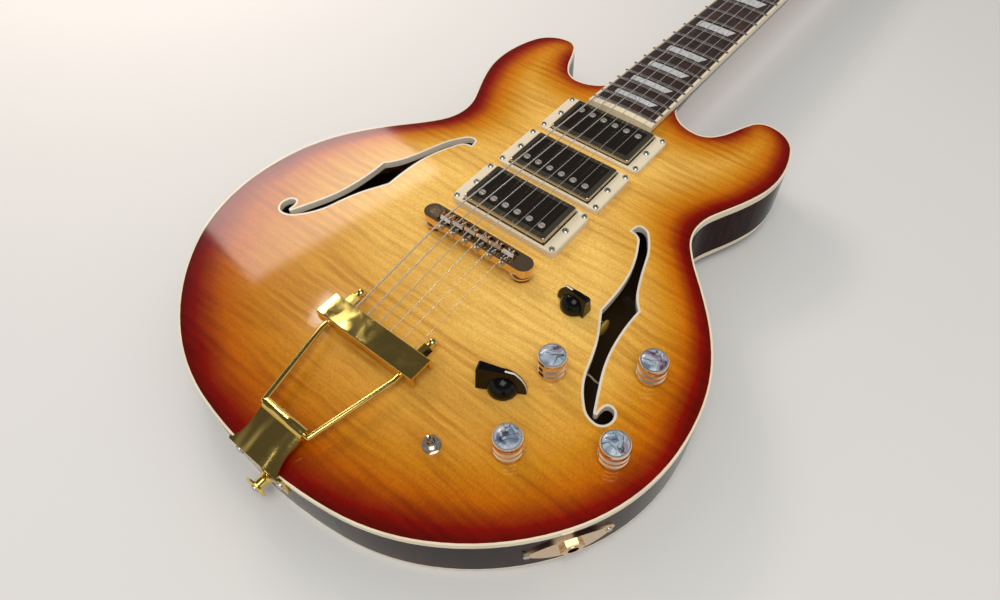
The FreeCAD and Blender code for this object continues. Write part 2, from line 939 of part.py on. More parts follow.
def tuner_spots():
    """Post centres on the headstock: side, x and y in the headstock frame, bass side first."""
    spots = []
    for side, _ in SIDES:
        for row in range(STRING_COUNT // 2):
            across = side * (size.tuner_inset_first + row * size.tuner_inset_step)
            spots.append((side, across, size.tuner_first + row * size.tuner_spacing))
    return spots


def truss_cavity():
    half = size.truss_cavity_width / 2
    near = size.truss_cavity_start + half
    far = size.truss_cavity_start + size.truss_cavity_length - half
    pocket = slab_box(-half, half, near, far, -size.truss_cavity_depth, size.overrun)
    for reach in (near, far):
        bottom = Vector(0, reach, -size.truss_cavity_depth)
        end = Part.makeCylinder(half, size.truss_cavity_depth + size.overrun, bottom)
        pocket = pocket.fuse(end)
    return pocket


def make_truss_rod():
    """Rod in the neck with its adjusting nut standing in the headstock pocket."""
    height = -size.truss_rod_depth
    shoulder = size.scale_length + size.nut_thickness + size.truss_nut_gap
    first = Vector(0, size.truss_rod_start, height)
    last = Vector(0, shoulder + size.truss_nut_gap, height)
    bar = rod(size.truss_rod_radius, first, last)
    nut_start = Vector(0, shoulder, height)
    nut = rod(size.truss_nut_radius, nut_start, nut_start + Vector(0, size.truss_nut_length, 0))
    return bar.fuse(nut)


def make_truss_cover():
    """Bell-shaped cover on the headstock face."""
    half = size.truss_cover_width / 2
    points = []
    for across, along, heading in COVER_SHARES:
        point = Vector(across * half, size.truss_cover_start + along * size.truss_cover_length, 0)
        points.append((point, heading, heading))
    edges = arc_chain(points)
    edges += [flipped(edge) for edge in edges]
    start = points[0][0]
    edges.append(Part.LineSegment(Vector(-start.x, start.y, 0), start).toShape())
    return closed_face(edges).extrude(Vector(0, 0, size.truss_cover_thickness))


def make_neck():
    """Shaft, heel, tongue, tenon and headstock in one piece, in world position."""
    nut_end = size.scale_length + size.nut_thickness
    shaft = Part.makeLoft([
        neck_section(size.heel_start, size.neck_body_depth),
        under_neck(nut_end, size.board_nut_width, size.neck_nut_depth)], True, True)
    heel = Part.makeLoft([
        neck_section(size.neck_joint_reach - size.overrun, size.heel_depth),
        neck_section(size.heel_curve_reach, size.heel_curve_depth),
        neck_section(size.heel_start, size.neck_body_depth)], True, False)
    tongue = board_slab(
        size.board_end, size.neck_joint_reach + size.overrun, size.board_binding_width,
        -2 * size.board_thickness, -size.board_thickness)
    tenon = slab_box(
        -size.tenon_width / 2, size.tenon_width / 2, size.tenon_end, size.neck_joint_reach + size.overrun,
        -size.board_thickness - size.tenon_depth, -size.board_thickness)
    head = moved(
        head_slab(-size.head_thickness - size.head_face_thickness, -size.head_face_thickness),
        neck_placement().inverse().multiply(head_placement()))
    throat_end = nut_end + size.head_throat_length
    throat = Part.makeLoft([
        under_neck(nut_end, size.board_nut_width, size.neck_nut_depth),
        under_neck(throat_end, size.head_throat_width, size.head_throat_depth)], True, True)
    beyond = slab_box(
        -size.head_throat_width, size.head_throat_width, throat_end,
        nut_end + size.head_length, -size.head_length, 0)
    head = head.common(throat.fuse(beyond))
    reach = 2 * size.body_half_width
    body_side = slab_box(-reach, reach, 0, size.neck_joint_reach, -reach, reach)
    heel = moved(heel, neck_placement()).cut(body_side)
    tongue = moved(tongue, neck_placement()).cut(outer_ball)
    others = [moved(shape, neck_placement()) for shape in (shaft, tenon, head)]
    return heel.fuse([tongue] + others).removeSplitter()


# Strings

def string_radius(index):
    """Radius of a string, counted from the thick bass string."""
    share = index / (STRING_COUNT - 1)
    return size.string_thickest / 2 * (size.string_thinnest / size.string_thickest) ** share


def string_across(index, pitch):
    return (index - (STRING_COUNT - 1) / 2) * pitch


def saddle_reach(index):
    """Position of a saddle's crest along the strings: the thick strings are longer."""
    return -size.saddle_stagger * (STRING_COUNT - 1 - index)


def string_rests(index):
    """Points a string passes over: its ball end, saddle, front and back of the nut."""
    radius = string_radius(index)
    hole = size.crossbar_top - size.string_hole_drop
    behind = size.crossbar_front - size.crossbar_wall - size.string_ball_radius
    start = Vector(string_across(index, size.string_tail_pitch), behind, hole)
    across = string_across(index, size.string_bridge_pitch)
    arch = across ** 2 / (2 * size.board_radius)
    saddle = Vector(
        across, saddle_reach(index), size.board_height - arch + size.string_bridge_action + radius)
    across = string_across(index, size.string_nut_pitch)
    arch = across ** 2 / (2 * size.board_radius)
    lift = size.fret_height + size.string_nut_action + radius - arch
    front = neck_placement().multVec(Vector(across, size.scale_length, lift))
    back = neck_placement().multVec(Vector(across, size.scale_length + size.nut_thickness, lift))
    return start, saddle, front, back


def post_number(index):
    """Tuner post that takes a string: the outer strings go to the posts nearest the nut."""
    half = STRING_COUNT // 2
    return index if index < half else half + (STRING_COUNT - 1 - index)


def make_winding(index, side, post_x, post_y):
    """Turns of a string round its post, in the headstock frame, and the point where they begin."""
    radius = string_radius(index)
    reach = size.tuner_post_radius + size.winding_gap + radius
    seat = head_placement().inverse().multVec(string_rests(index)[3])
    away = Vector(post_x - seat.x, post_y - seat.y, 0)
    lean = math.asin(reach / away.Length)
    heading = math.atan2(away.y, away.x) + side * lean
    run = math.sqrt(away.Length ** 2 - reach ** 2)
    touch = Vector(seat.x + run * math.cos(heading), seat.y + run * math.sin(heading), size.winding_top)
    turns = []
    for turn in range(WINDING_COUNT):
        height = size.winding_top - turn * WINDING_PITCH_SHARE * radius
        turns.append(Part.makeTorus(reach, radius, Vector(post_x, post_y, height)))
    return turns[0].fuse(turns[1:]), touch


def make_string(index):
    """One string from its ball end over saddle and nut to the turns on its post."""
    radius = string_radius(index)
    points = list(string_rests(index))
    side, post_x, post_y = tuner_spots()[post_number(index)]
    turns, touch = make_winding(index, side, post_x, post_y)
    points.append(head_placement().multVec(touch))
    pieces = [moved(turns, head_placement())]
    for start, end in zip(points[:-1], points[1:]):
        shy = (end - start).normalize() * radius * STRING_GAP_SHARE
        knuckle = Part.makeSphere(radius * STRING_BEND_SHARE, end, shy)
        pieces += [rod(radius, start + shy, end - shy), knuckle]
    return Part.makeSphere(size.string_ball_radius, points[0]).fuse(pieces)


def make_nut():
    """Nut block with a round-bottomed slot for each string."""
    blank = slab_box(
        -size.board_nut_width / 2, size.board_nut_width / 2, size.scale_length,
        size.scale_length + size.nut_thickness, -size.board_thickness, 2 * size.board_thickness)
    lift = size.fret_height + size.string_nut_action + size.string_thickest / 2
    blank = moved(blank.common(board_crown(lift)), neck_placement())
    slots = []
    for index in range(STRING_COUNT):
        half = string_radius(index) * NUT_SLOT_SHARE
        front, back = string_rests(index)[2:]
        run = back - front
        left, right, rise = Vector(-half, 0, 0), Vector(half, 0, 0), Vector(0, 0, size.board_thickness)
        bottom = Part.Arc(left, Vector(0, 0, -half), right).toShape()
        sides = Part.makePolygon([right, right + rise, left + rise, left])
        slot = Part.Face(Part.Wire([bottom] + sides.Edges)).extrude(Vector(0, 3 * run.Length, 0))
        slots.append(moved(slot, Placement(front - run, Rotation(Vector(0, 1, 0), run))))
    return blank.cut(slots)


# Seats on the curved rim

def rim_seat(start, end):
    """Point where a plan line leaves the body, and the outward direction of the rim there."""
    along = (end - start).normalize()
    across = Vector(-along.y, along.x, 0) * size.overrun

    def meet(shift):
        line = Part.LineSegment(start + shift, end + shift).toShape()
        return body_outline.distToShape(line)[1][0][0]

    tangent = meet(across) - meet(-across)
    outward = Vector(tangent.y, -tangent.x, 0).normalize()
    if outward.dot(along) < 0:
        outward = -outward
    return meet(Vector()), outward


def jack_seat(shift=0.0):
    reach = size.jack_reach + shift
    return rim_seat(Vector(0, reach, 0), Vector(size.body_length, reach, 0))


def tail_seat(across):
    return rim_seat(Vector(across, 0, 0), Vector(across, -size.body_length, 0))


def facing(point, outward, height):
    """Placement at a rim point whose Z axis is the outward direction."""
    return Placement(Vector(point.x, point.y, height), Rotation(Vector(0, 0, 1), outward))


def rim_plate(thickness, low, high):
    """Layer that lies on the outside of the rim."""
    face = Part.Face(body_outline.makeOffset2D(thickness))
    face.translate(Vector(0, 0, low))
    return face.extrude(Vector(0, 0, high - low)).cut(body_prism(0, low - size.overrun, high + size.overrun))


# Screws

def screw(name, head, shaft, length):
    """Cross-head screw standing on the origin, head up."""
    blank = turned(name + "_blank", [
        ("0", "-" + length), (shaft, "-%s+%s" % (length, shaft)), (shaft, "0"), (head, "0"),
        (head, "screw_head_height/3"), (head + "*3/5", "screw_head_height"), ("0", "screw_head_height")])
    arms = []
    for arm, (wide, deep) in enumerate(((head, "screw_slot"), ("screw_slot", head))):
        low = ("-%s/2" % wide, "-%s/2" % deep, "screw_head_height/2")
        arms.append(box("%s_arm_%d" % (name, arm), wide, deep, "screw_head_height", low))
    return cut(name, blank, join(name + "_cross", arms))


def copies(name, template, placements):
    """The same solid at several places."""
    document.recompute()
    return feature(name, Part.makeCompound([moved(template.Shape, spot) for spot in placements]))


def upright(x, y, z):
    return Placement(Vector(x, y, z), Rotation())


def ring_screw_spots():
    spots = []
    for which, _ in PICKUPS:
        centre, top = pickup_size(which, "reach"), getattr(size, "ring_top_" + which)
        for side in (-1, 1):
            for end in (-1, 1):
                spots.append(upright(side * size.ring_screw_x, centre + end * size.ring_screw_y, top))
    return spots


def height_screw_spots():
    spots = []
    for which, _ in PICKUPS:
        centre, top = pickup_size(which, "reach"), getattr(size, "ring_top_" + which)
        spots += [upright(side * size.height_screw_x, centre, top) for side in (-1, 1)]
    return spots


def pickup_size(which, what):
    return getattr(size, "pickup_%s_%s" % (which, what))


def hardware_screw_spots():
    """Seats of the bigger screws: hinge flange and strap buttons."""
    spots = []
    for side in (-1, 1):
        point, outward = tail_seat(side * size.hinge_screw_x)
        spots.append(facing(point + outward * size.hinge_plate_thickness, outward, size.hinge_screw_height))
    for seat in button_seats():
        spots.append(seat.multiply(upright(0, 0, size.button_length)))
    return spots


def small_screw_spots():
    """Seats of the little screws: jack plate, truss cover and tuner cases."""
    spots = []
    for side in (-1, 1):
        point, outward = jack_seat(side * size.jack_screw_half)
        spots.append(facing(point + outward * size.jack_plate_thickness, outward, size.jack_height))
    last = size.truss_cover_start + size.truss_cover_length - size.truss_cover_margin
    first = size.truss_cover_start + size.truss_cover_margin
    for across, reach in ((-size.truss_screw_x, first), (size.truss_screw_x, first), (0, last)):
        spots.append(head_placement().multiply(upright(across, reach, size.truss_cover_thickness)))
    back = -size.head_thickness - size.head_face_thickness
    for _, across, reach in tuner_spots():
        point = Vector(across, reach + size.tuner_screw_reach, back - size.tuner_tab_thickness)
        spots.append(head_placement().multiply(Placement(point, Rotation(Vector(1, 0, 0), 180))))
    return spots


def heel_direction():
    lean = math.radians(size.heel_button_turn)
    return Vector(0, math.sin(lean), -math.cos(lean))


def button_seats():
    """Placements of the tail and heel strap buttons, Z axis outward."""
    tail = facing(Vector(0, -size.tail_reach, 0), Vector(0, -1, 0), size.button_height)
    start = Vector(0, size.heel_button_start, size.back_drop + size.rim_depth / 2)
    line = Part.LineSegment(start, start + heel_direction() * size.body_length).toShape()
    inside = neck_blank.common(line)
    foot = max((vertex.Point for vertex in inside.Vertexes), key=lambda point: (point - start).Length)
    heel = Placement(
        foot - heel_direction() * size.heel_button_sink, Rotation(Vector(0, 0, 1), heel_direction()))
    return [tail, heel]


# Electric controls

def control(name, x, y, radius, height):
    """Control under the top: housing with threaded bushing, washer and nut."""
    seat = top_level(x, y)
    under = "-plate_thickness-control_gap"
    floor = under + "-" + height
    body = turned(name + "_housing", [
        ("pot_bore_radius", floor), (radius, floor), (radius, under), ("pot_bushing_radius", under),
        ("pot_bushing_radius", "pot_bushing_rise"), ("pot_bore_radius", "pot_bushing_rise")], x, y, seat)
    washer = turned(name + "_washer_blank", [
        ("pot_bushing_radius", "-pot_washer_height"), ("pot_washer_radius", "-pot_washer_height"),
        ("pot_washer_radius", "pot_washer_height"), ("pot_bushing_radius", "pot_washer_height")], x, y, seat)
    washer = cut(name + "_washer", washer, top_form)
    nut = hexagon(name + "_nut_blank", "pot_nut_radius", "pot_nut_height", x, y, seat + "+pot_washer_height")
    bore = cylinder(name + "_nut_bore", "pot_bushing_radius", "rim_depth", (x, y, seat))
    return [body, washer, cut(name + "_nut", nut, bore)]


def hexagon(name, radius, height, x=0, y=0, z=0, turn=None):
    prism = primitive("Prism", name, dict(Circumradius=radius, Height=height), x, y, z, turn)
    prism.Polygon = 6
    return prism


def control_hole(name, x, y, radius):
    low = top_level(x, y) + "-2*plate_thickness"
    return cylinder(name, radius + "+bore_clearance", "4*plate_thickness", (x, y, low))


def make_knob(number, which):
    """Knob with two grooved bands, its domed inlay and the shaft it sits on."""
    x, y = "knob_%s_x" % which, "knob_%s_y" % which
    base = top_level(x, y) + "+knob_gap"
    name = "knob_%d" % number
    wall = [("knob_radius", "0")]
    for count, share in KNOB_GROOVE_ROWS:
        wall.append(("knob_radius", "knob_height*%g-knob_groove_pitch/2" % share))
        for line in range(count):
            height = "knob_height*%g+knob_groove_pitch*%d" % (share, line)
            wall.append(("knob_radius-knob_groove", height))
            wall.append(("knob_radius", height + "+knob_groove_pitch/2"))
    body = turned(name + "_body", [
        ("0", "knob_bore_depth"), ("pot_shaft_radius", "knob_bore_depth"),
        ("pot_shaft_radius", "knob_recess_height"), ("knob_recess_radius", "knob_recess_height"),
        ("knob_recess_radius", "0")] + wall + [
        ("knob_radius", "knob_height-knob_rim*2"), ("knob_radius-knob_rim/2", "knob_height-knob_rim/2"),
        ("knob_radius-knob_rim", "knob_height"), ("knob_radius-knob_rim*2", "knob_height"),
        ("knob_radius-knob_rim*2", "knob_height-knob_inlay_recess"), ("0", "knob_height-knob_inlay_recess")],
        x, y, base)
    inlay_radius = "(knob_radius-knob_rim*2)"
    inlay_low = base + "+knob_height-knob_inlay_recess"
    disc = cylinder(name + "_disc", inlay_radius, "knob_inlay_recess+knob_dome", (x, y, inlay_low))
    dome_radius = "(%s^2/(2*knob_dome)+knob_dome/2)" % inlay_radius
    dome_low = base + "+knob_height+knob_dome-" + dome_radius
    ball = primitive("Sphere", name + "_ball", dict(Radius=dome_radius), x, y, dome_low)
    inlay = document.addObject("Part::MultiCommon", name + "_inlay")
    inlay.Shapes = [disc, ball]
    shaft = cylinder(
        name + "_shaft", "pot_shaft_radius", "plate_thickness+pot_height/2+knob_gap+knob_bore_depth",
        (x, y, top_level(x, y) + "-plate_thickness-pot_height/2"))
    return node(group(name, [body, inlay, shaft]), name)


def selector_size(which, what):
    return getattr(size, "selector_%s_%s" % (which, what))


def selector_side_view(which):
    """Side view of a pointer: upright back, level top and a nose that curves down to its tip."""
    nose, back = selector_size(which, "nose"), -selector_size(which, "back")
    high = selector_size(which, "height")
    chamfer = size.selector_chamfer
    beak = Vector(nose * SELECTOR_BEAK_SHARE, 0, high)
    tip = Vector(nose, 0, size.selector_tip_height)
    chord = tip - beak
    bulge = Vector(-chord.z, 0, chord.x) * SELECTOR_BULGE_SHARE
    outline = [
        tip, Vector(nose, 0, 0), Vector(back, 0, 0), Vector(back, 0, high - chamfer),
        Vector(back + chamfer, 0, high), beak]
    edges = Part.makePolygon(outline).Edges
    edges.append(Part.Arc(beak, (beak + tip) / 2 + bulge, tip).toShape())
    return closed_face(edges)


def selector_bar(which):
    """Pointer with its nose along X, a wedge from above that is narrower at the top, and its line."""
    nose, back = selector_size(which, "nose"), -selector_size(which, "back")
    high, half = selector_size(which, "height"), selector_size(which, "half")
    layers = []
    for height, share in ((0, 1), (high, SELECTOR_TOP_SHARE)):
        wide, narrow = half * share, half * share * SELECTOR_TIP_SHARE
        corners = [
            Vector(back, -wide, height), Vector(nose, -narrow, height), Vector(nose, narrow, height),
            Vector(back, wide, height)]
        layers.append(Part.makePolygon(corners + corners[:1]))
    wedge = Part.makeLoft(layers, True, True)
    side_view = moved(selector_side_view(which), Placement(Vector(0, -half, 0), Rotation()))
    bar = wedge.common(side_view.extrude(Vector(0, 2 * half, 0)))
    reach = size.selector_line_width / 2
    line = bar.common(slab_box(size.selector_line_start, nose - reach, -reach, reach, 0, high))
    return bar, line.cut(moved(bar, Placement(Vector(0, 0, -size.selector_line_depth), Rotation())))


def make_selector(number, which):
    """Pointer knob on a round hub with a line let into its nose, on its switch shaft."""
    x, y = "selector_%s_x" % which, "selector_%s_y" % which
    hub_radius = "selector_%s_hub" % which
    seat = top_level(x, y)
    low = seat + "+knob_gap"
    name = "selector_knob_%d" % number
    bar, line = selector_bar(which)
    spin = Rotation(Vector(0, 0, 1), selector_size(which, "turn"))
    pointer = place(feature(name + "_bar", bar), x, y, low, spin)
    mark = place(feature(name + "_line", line), x, y, low, spin)
    skirt = cylinder(name + "_skirt", hub_radius, "selector_skirt", (x, y, low))
    upper_half = dict(Radius=hub_radius, Angle1="0")
    hub = primitive("Sphere", name + "_hub", upper_half, x, y, low + "+selector_skirt")
    shaft = cylinder(
        name + "_shaft", "pot_shaft_radius", "plate_thickness+rotary_height/2+knob_gap+selector_bore_depth",
        (x, y, seat + "-plate_thickness-rotary_height/2"))
    recess = cylinder(
        name + "_recess", "knob_recess_radius", "knob_recess_height+overrun", (x, y, low + "-overrun"))
    blank = join(name + "_blank", [pointer, skirt, hub])
    body = cut(name + "_body", blank, join(name + "_tools", [recess, shaft, mark]))
    return node(group(name, [body, mark, shaft]), name)


def make_toggle():
    """Lever of the mini switch and its fixed parts."""
    seat = top_level("toggle_x", "toggle_y")
    pivot = seat + "+toggle_bushing_rise-toggle_pivot_drop"
    case = box(
        "toggle_case", "toggle_case_width", "toggle_case_size", "toggle_case_height",
        ("toggle_x-toggle_case_width/2", "toggle_y-toggle_case_size/2",
         seat + "-plate_thickness-control_gap-toggle_case_height"))
    under = "-plate_thickness-control_gap"
    tube = turned("toggle_tube", [
        ("toggle_bore_radius", under), ("toggle_bushing_radius", under),
        ("toggle_bushing_radius", "toggle_bushing_rise"), ("toggle_bore_radius", "toggle_bushing_rise")],
        "toggle_x", "toggle_y", seat)
    pin_hole = toggle_pin(
        "toggle_pin_hole", "toggle_pin_radius+bore_clearance", "toggle_bushing_radius+overrun")
    place(pin_hole, "toggle_x", "toggle_y", pivot, toggle_tilt())
    bushing = cut("toggle_bushing", tube, pin_hole)
    washer = turned("toggle_washer_blank", [
        ("toggle_bushing_radius", "-pot_washer_height"), ("toggle_nut_radius", "-pot_washer_height"),
        ("toggle_nut_radius", "pot_washer_height/2"), ("toggle_bushing_radius", "pot_washer_height/2")],
        "toggle_x", "toggle_y", seat)
    nut_low = seat + "+pot_washer_height/2"
    nut = hexagon(
        "toggle_nut_blank", "toggle_nut_radius", "toggle_nut_height", "toggle_x", "toggle_y", nut_low)
    bore = cylinder("toggle_nut_bore", "toggle_bushing_radius", "rim_depth", ("toggle_x", "toggle_y", seat))
    tip = [("toggle_lever_tip*%g" % out, "toggle_lever_length-toggle_lever_tip*%g" % down)
           for out, down in LEVER_TIP_SHARES]
    lever = turned("toggle_stick", [
        ("0", "0"), ("toggle_lever_radius", "0"), ("toggle_lever_radius", "toggle_lever_length/2")] + tip)
    ball = primitive("Sphere", "toggle_ball", dict(Radius="toggle_ball_radius"))
    pin = toggle_pin("toggle_pin", "toggle_pin_radius", "toggle_pin_half")
    stick = place(join("toggle_lever", [lever, ball, pin]), "toggle_x", "toggle_y", pivot, toggle_tilt())
    node(stick, "toggle_lever")
    return [case, bushing, cut("toggle_washer", washer, top_form), cut("toggle_nut", nut, bore)]


def toggle_pin(name, radius, half):
    """Hinge pin through the lever's ball, centred on the pivot."""
    along = Rotation(Vector(1, 0, 0), -90)
    return group(name, [cylinder(name + "_rod", radius, "2*(%s)" % half, (0, "-(%s)" % half, 0), along)])


def toggle_tilt():
    """Rest position of the lever, thrown to the tail and treble side."""
    throw = Rotation(Vector(0, 0, 1), size.toggle_turn)
    return throw.multiply(Rotation(Vector(0, 1, 0), size.toggle_throw))


def make_controls():
    """Fixed parts of all controls, and the holes they need in the top."""
    pieces, holes = [], []
    for which in KNOBS:
        x, y = "knob_%s_x" % which, "knob_%s_y" % which
        pieces += control("pot_" + which, x, y, "pot_radius", "pot_height")
        holes.append(control_hole("pot_hole_" + which, x, y, "pot_bushing_radius"))
    for which in SELECTORS:
        x, y = "selector_%s_x" % which, "selector_%s_y" % which
        pieces += control("rotary_" + which, x, y, "rotary_radius", "rotary_height")
        holes.append(control_hole("rotary_hole_" + which, x, y, "pot_bushing_radius"))
    pieces += make_toggle()
    holes.append(control_hole("toggle_hole", "toggle_x", "toggle_y", "toggle_bushing_radius"))
    node(group("controls", pieces), "control_pots_and_switches")
    for number, which in enumerate(KNOBS, start=1):
        make_knob(number, which)
    for number, which in enumerate(SELECTORS, start=1):
        make_selector(number, which)
    return holes


# Pickups

def make_cavity(which):
    """Pocket for a pickup: a rectangle with side slots for the mounting ears."""
    centre = "pickup_%s_reach" % which
    low = "back_drop+rim_depth+top_crown-cavity_depth"
    main = box(
        which + "_cavity_main",
        "2*(cover_half_length+cavity_margin)", "2*(cover_half_width+cavity_margin)", "2*cavity_depth",
        ("-cover_half_length-cavity_margin", centre + "-cover_half_width-cavity_margin", low))
    side = box(
        which + "_cavity_ears", "2*(ear_reach+ear_margin)", "2*(ear_half_width+ear_margin)", "2*cavity_depth",
        ("-ear_reach-ear_margin", centre + "-ear_half_width-ear_margin", low))
    return join(which + "_cavity", [main, side])


def make_ring(which):
    """Mounting ring that follows the arched top below."""
    centre = "pickup_%s_reach" % which
    low = "back_drop+rim_depth-plate_thickness"
    blank = padded(which + "_ring_blank", "XY_Plane", [
        ("-ring_half_length", "-ring_half_width"), ("ring_half_length", "-ring_half_width"),
        ("ring_half_length", "ring_half_width"), ("-ring_half_length", "ring_half_width")],
        "ring_top_%s-(%s)" % (which, low), 0, centre, low)
    document.recompute()
    top = blank.Tip.Shape.BoundBox.ZMax
    round_body(blank, "ring_corner", lambda edge: edge.Length > size.rim_thickness and is_upright(edge))
    round_body(blank, "ring_edge_round", lambda edge: is_level(edge, top))
    opening = box(
        which + "_ring_opening",
        "2*(cover_half_length+cover_clearance)", "2*(cover_half_width+cover_clearance)", "2*rim_depth",
        ("-cover_half_length-cover_clearance", centre + "-cover_half_width-cover_clearance",
         low + "-overrun"))
    return cut(which + "_ring", blank, join(which + "_ring_tools", [opening, top_form, ring_holes]))


def is_upright(edge):
    start, end = edge.Vertexes[0].Point, edge.Vertexes[-1].Point
    return abs(start.x - end.x) + abs(start.y - end.y) < size.bore_clearance


def is_level(edge, height):
    return all(abs(vertex.Point.z - height) < size.bore_clearance for vertex in edge.Vertexes)


def make_pole_screw(which, side):
    """Six pole screws of one pickup as revolved solids in a row."""
    template = turned(which + "_pole", [
        ("0", "-pole_length"), ("pole_thread_radius", "-pole_length"),
        ("pole_thread_radius", "-pole_head_height"), ("pole_radius", "-pole_head_height"),
        ("pole_radius", "-pole_chamfer"), ("pole_radius-pole_chamfer", "0"), ("0", "0")])
    slot = box(
        which + "_pole_slot", "2*pole_radius", "screw_slot", "pole_radius",
        ("-pole_radius", "-screw_slot/2", "-screw_slot"))
    spots = []
    for index in range(STRING_COUNT):
        spots.append(upright(
            string_across(index, size.pole_pitch), pickup_size(which, "reach") + side * size.pole_offset,
            getattr(size, "cover_top_" + which) + size.pole_rise))
    return copies(which + "_poles", cut(which + "_pole_cut", template, slot), spots), spots


def make_pickup(which, side):
    """Metal cover and the coils, magnet, plate and pole pieces under it."""
    centre = "pickup_%s_reach" % which
    top = "cover_top_" + which
    base = "(%s-cover_height)" % top
    blank = padded(which + "_cover_blank", "XY_Plane", [
        ("-cover_half_length", "-cover_half_width"), ("cover_half_length", "-cover_half_width"),
        ("cover_half_length", "cover_half_width"), ("-cover_half_length", "cover_half_width")],
        "cover_height", 0, centre, base)
    round_body(blank, "cover_round", is_upright)
    round_body(blank, "cover_edge_round", lambda edge: is_level(edge, size.cover_height))
    inside = box(
        which + "_cover_inside", "2*(cover_half_length-cover_wall)", "2*(cover_half_width-cover_wall)",
        "cover_height-cover_wall-cover_field_depth+overrun",
        ("-cover_half_length+cover_wall", centre + "-cover_half_width+cover_wall", base + "-overrun"))
    field = box(
        which + "_cover_field",
        "2*(cover_half_length-cover_field_inset)", "2*(cover_half_width-cover_field_inset)", "cover_height",
        ("-cover_half_length+cover_field_inset", centre + "-cover_half_width+cover_field_inset",
         top + "-cover_field_depth"))
    poles, spots = make_pole_screw(which, side)
    holes = cylinder(which + "_pole_hole", "pole_radius", "pole_length", (0, 0, "-pole_length/2"))
    holes = copies(which + "_pole_holes", holes, spots)
    cover = cut(which + "_cover", blank, join(which + "_cover_tools", [inside, field, holes]))
    node(cover, "pickup_cover_" + which)
    plate = box(
        which + "_plate",
        "2*(cover_half_length-cover_wall)", "2*(cover_half_width-cover_wall)", "baseplate_thickness",
        ("-cover_half_length+cover_wall", centre + "-cover_half_width+cover_wall", base))
    ears = []
    plate_end = "(cover_half_length-cover_wall)"
    leg_start = "(%s-baseplate_thickness)" % plate_end
    for turn, side_name in SIDES:
        low_x = leg_start if turn > 0 else "-ear_reach"
        leg_x = leg_start if turn > 0 else "-" + plate_end
        ears.append(box(
            "%s_ear_%s" % (which, side_name), "ear_reach-" + leg_start, "2*ear_half_width",
            "baseplate_thickness", (low_x, centre + "-ear_half_width", base + "-ear_drop")))
        ears.append(box(
            "%s_leg_%s" % (which, side_name), "baseplate_thickness", "2*ear_half_width",
            "ear_drop+baseplate_thickness", (leg_x, centre + "-ear_half_width", base + "-ear_drop")))
    ear_bore = cylinder(
        which + "_ear_bore", "height_screw_radius+bore_clearance", "height_screw_length",
        (0, 0, "-height_screw_length"))
    reach = pickup_size(which, "reach")
    ear_spots = [spot for spot in height_screw_spots() if abs(spot.Base.y - reach) < size.overrun]
    ear_bores = copies(which + "_ear_bores", ear_bore, ear_spots)
    frame_blank = join(which + "_frame_blank", [plate] + ears)
    frame = cut(which + "_frame", frame_blank, join(which + "_frame_tools", [ear_bores, poles]))
    magnet = box(
        which + "_magnet", "2*magnet_half_length", "2*magnet_half_width", "magnet_height",
        ("-magnet_half_length", centre + "-magnet_half_width", base + "+baseplate_thickness"))
    coils = []
    for turn, side_name in SIDES:
        coil = box(
            "%s_coil_%s" % (which, side_name), "2*bobbin_half_length", "2*bobbin_half_width", "bobbin_height",
            ("-bobbin_half_length", centre + "%+d*pole_offset-bobbin_half_width" % turn,
             base + "+baseplate_thickness+magnet_height"))
        coils.append(cut("%s_bobbin_%s" % (which, side_name), coil, poles))
    node(group(which + "_core", [frame, magnet, poles] + coils), "pickup_core_" + which)


# Bridge

def make_bridge_post(turn, side_name, middle):
    """Bushing, stud and thumbwheel under one end of the bridge, and the drill for the bushing."""
    x = "%d*bridge_post_spacing/2" % turn
    seat = top_level("bridge_post_spacing/2", middle)
    bushing = turned("bridge_bushing_" + side_name, [
        ("bridge_post_radius", "-bridge_post_depth"), ("bushing_radius", "-bridge_post_depth"),
        ("bushing_radius", "0"), ("bushing_flange_radius", "0"),
        ("bushing_flange_radius", "bushing_flange_height"),
        ("bridge_post_radius", "bushing_flange_height")], x, middle, seat)
    post = turned("bridge_post_" + side_name, [
        ("0", "-bridge_post_length"), ("bridge_post_radius", "-bridge_post_length"),
        ("bridge_post_radius", "-bridge_post_head_height"),
        ("bridge_post_head", "-bridge_post_head_height"),
        ("bridge_post_head", "0"), ("0", "0")], x, middle, "bridge_top")
    slot = box(
        "bridge_post_slot_" + side_name, "2*bridge_post_head", "screw_slot", "bridge_post_head_height",
        (x + "-bridge_post_head", middle + "-screw_slot/2", "bridge_top-bridge_post_head_height/2"))
    wheel = turned("bridge_wheel_" + side_name, [
        ("bridge_post_radius", "0"), ("thumbwheel_radius-screw_slot", "0"),
        ("thumbwheel_radius", "screw_slot"), ("thumbwheel_radius", "thumbwheel_height-screw_slot"),
        ("thumbwheel_radius-screw_slot", "thumbwheel_height"), ("bridge_post_radius", "thumbwheel_height")],
        x, middle, "bridge_top-bridge_height-thumbwheel_height")
    drill = cylinder(
        "bushing_drill_" + side_name, "bushing_radius", "bridge_post_depth",
        (x, middle, seat + "-bridge_post_depth"))
    return [bushing, cut("bridge_stud_" + side_name, post, slot), wheel], drill


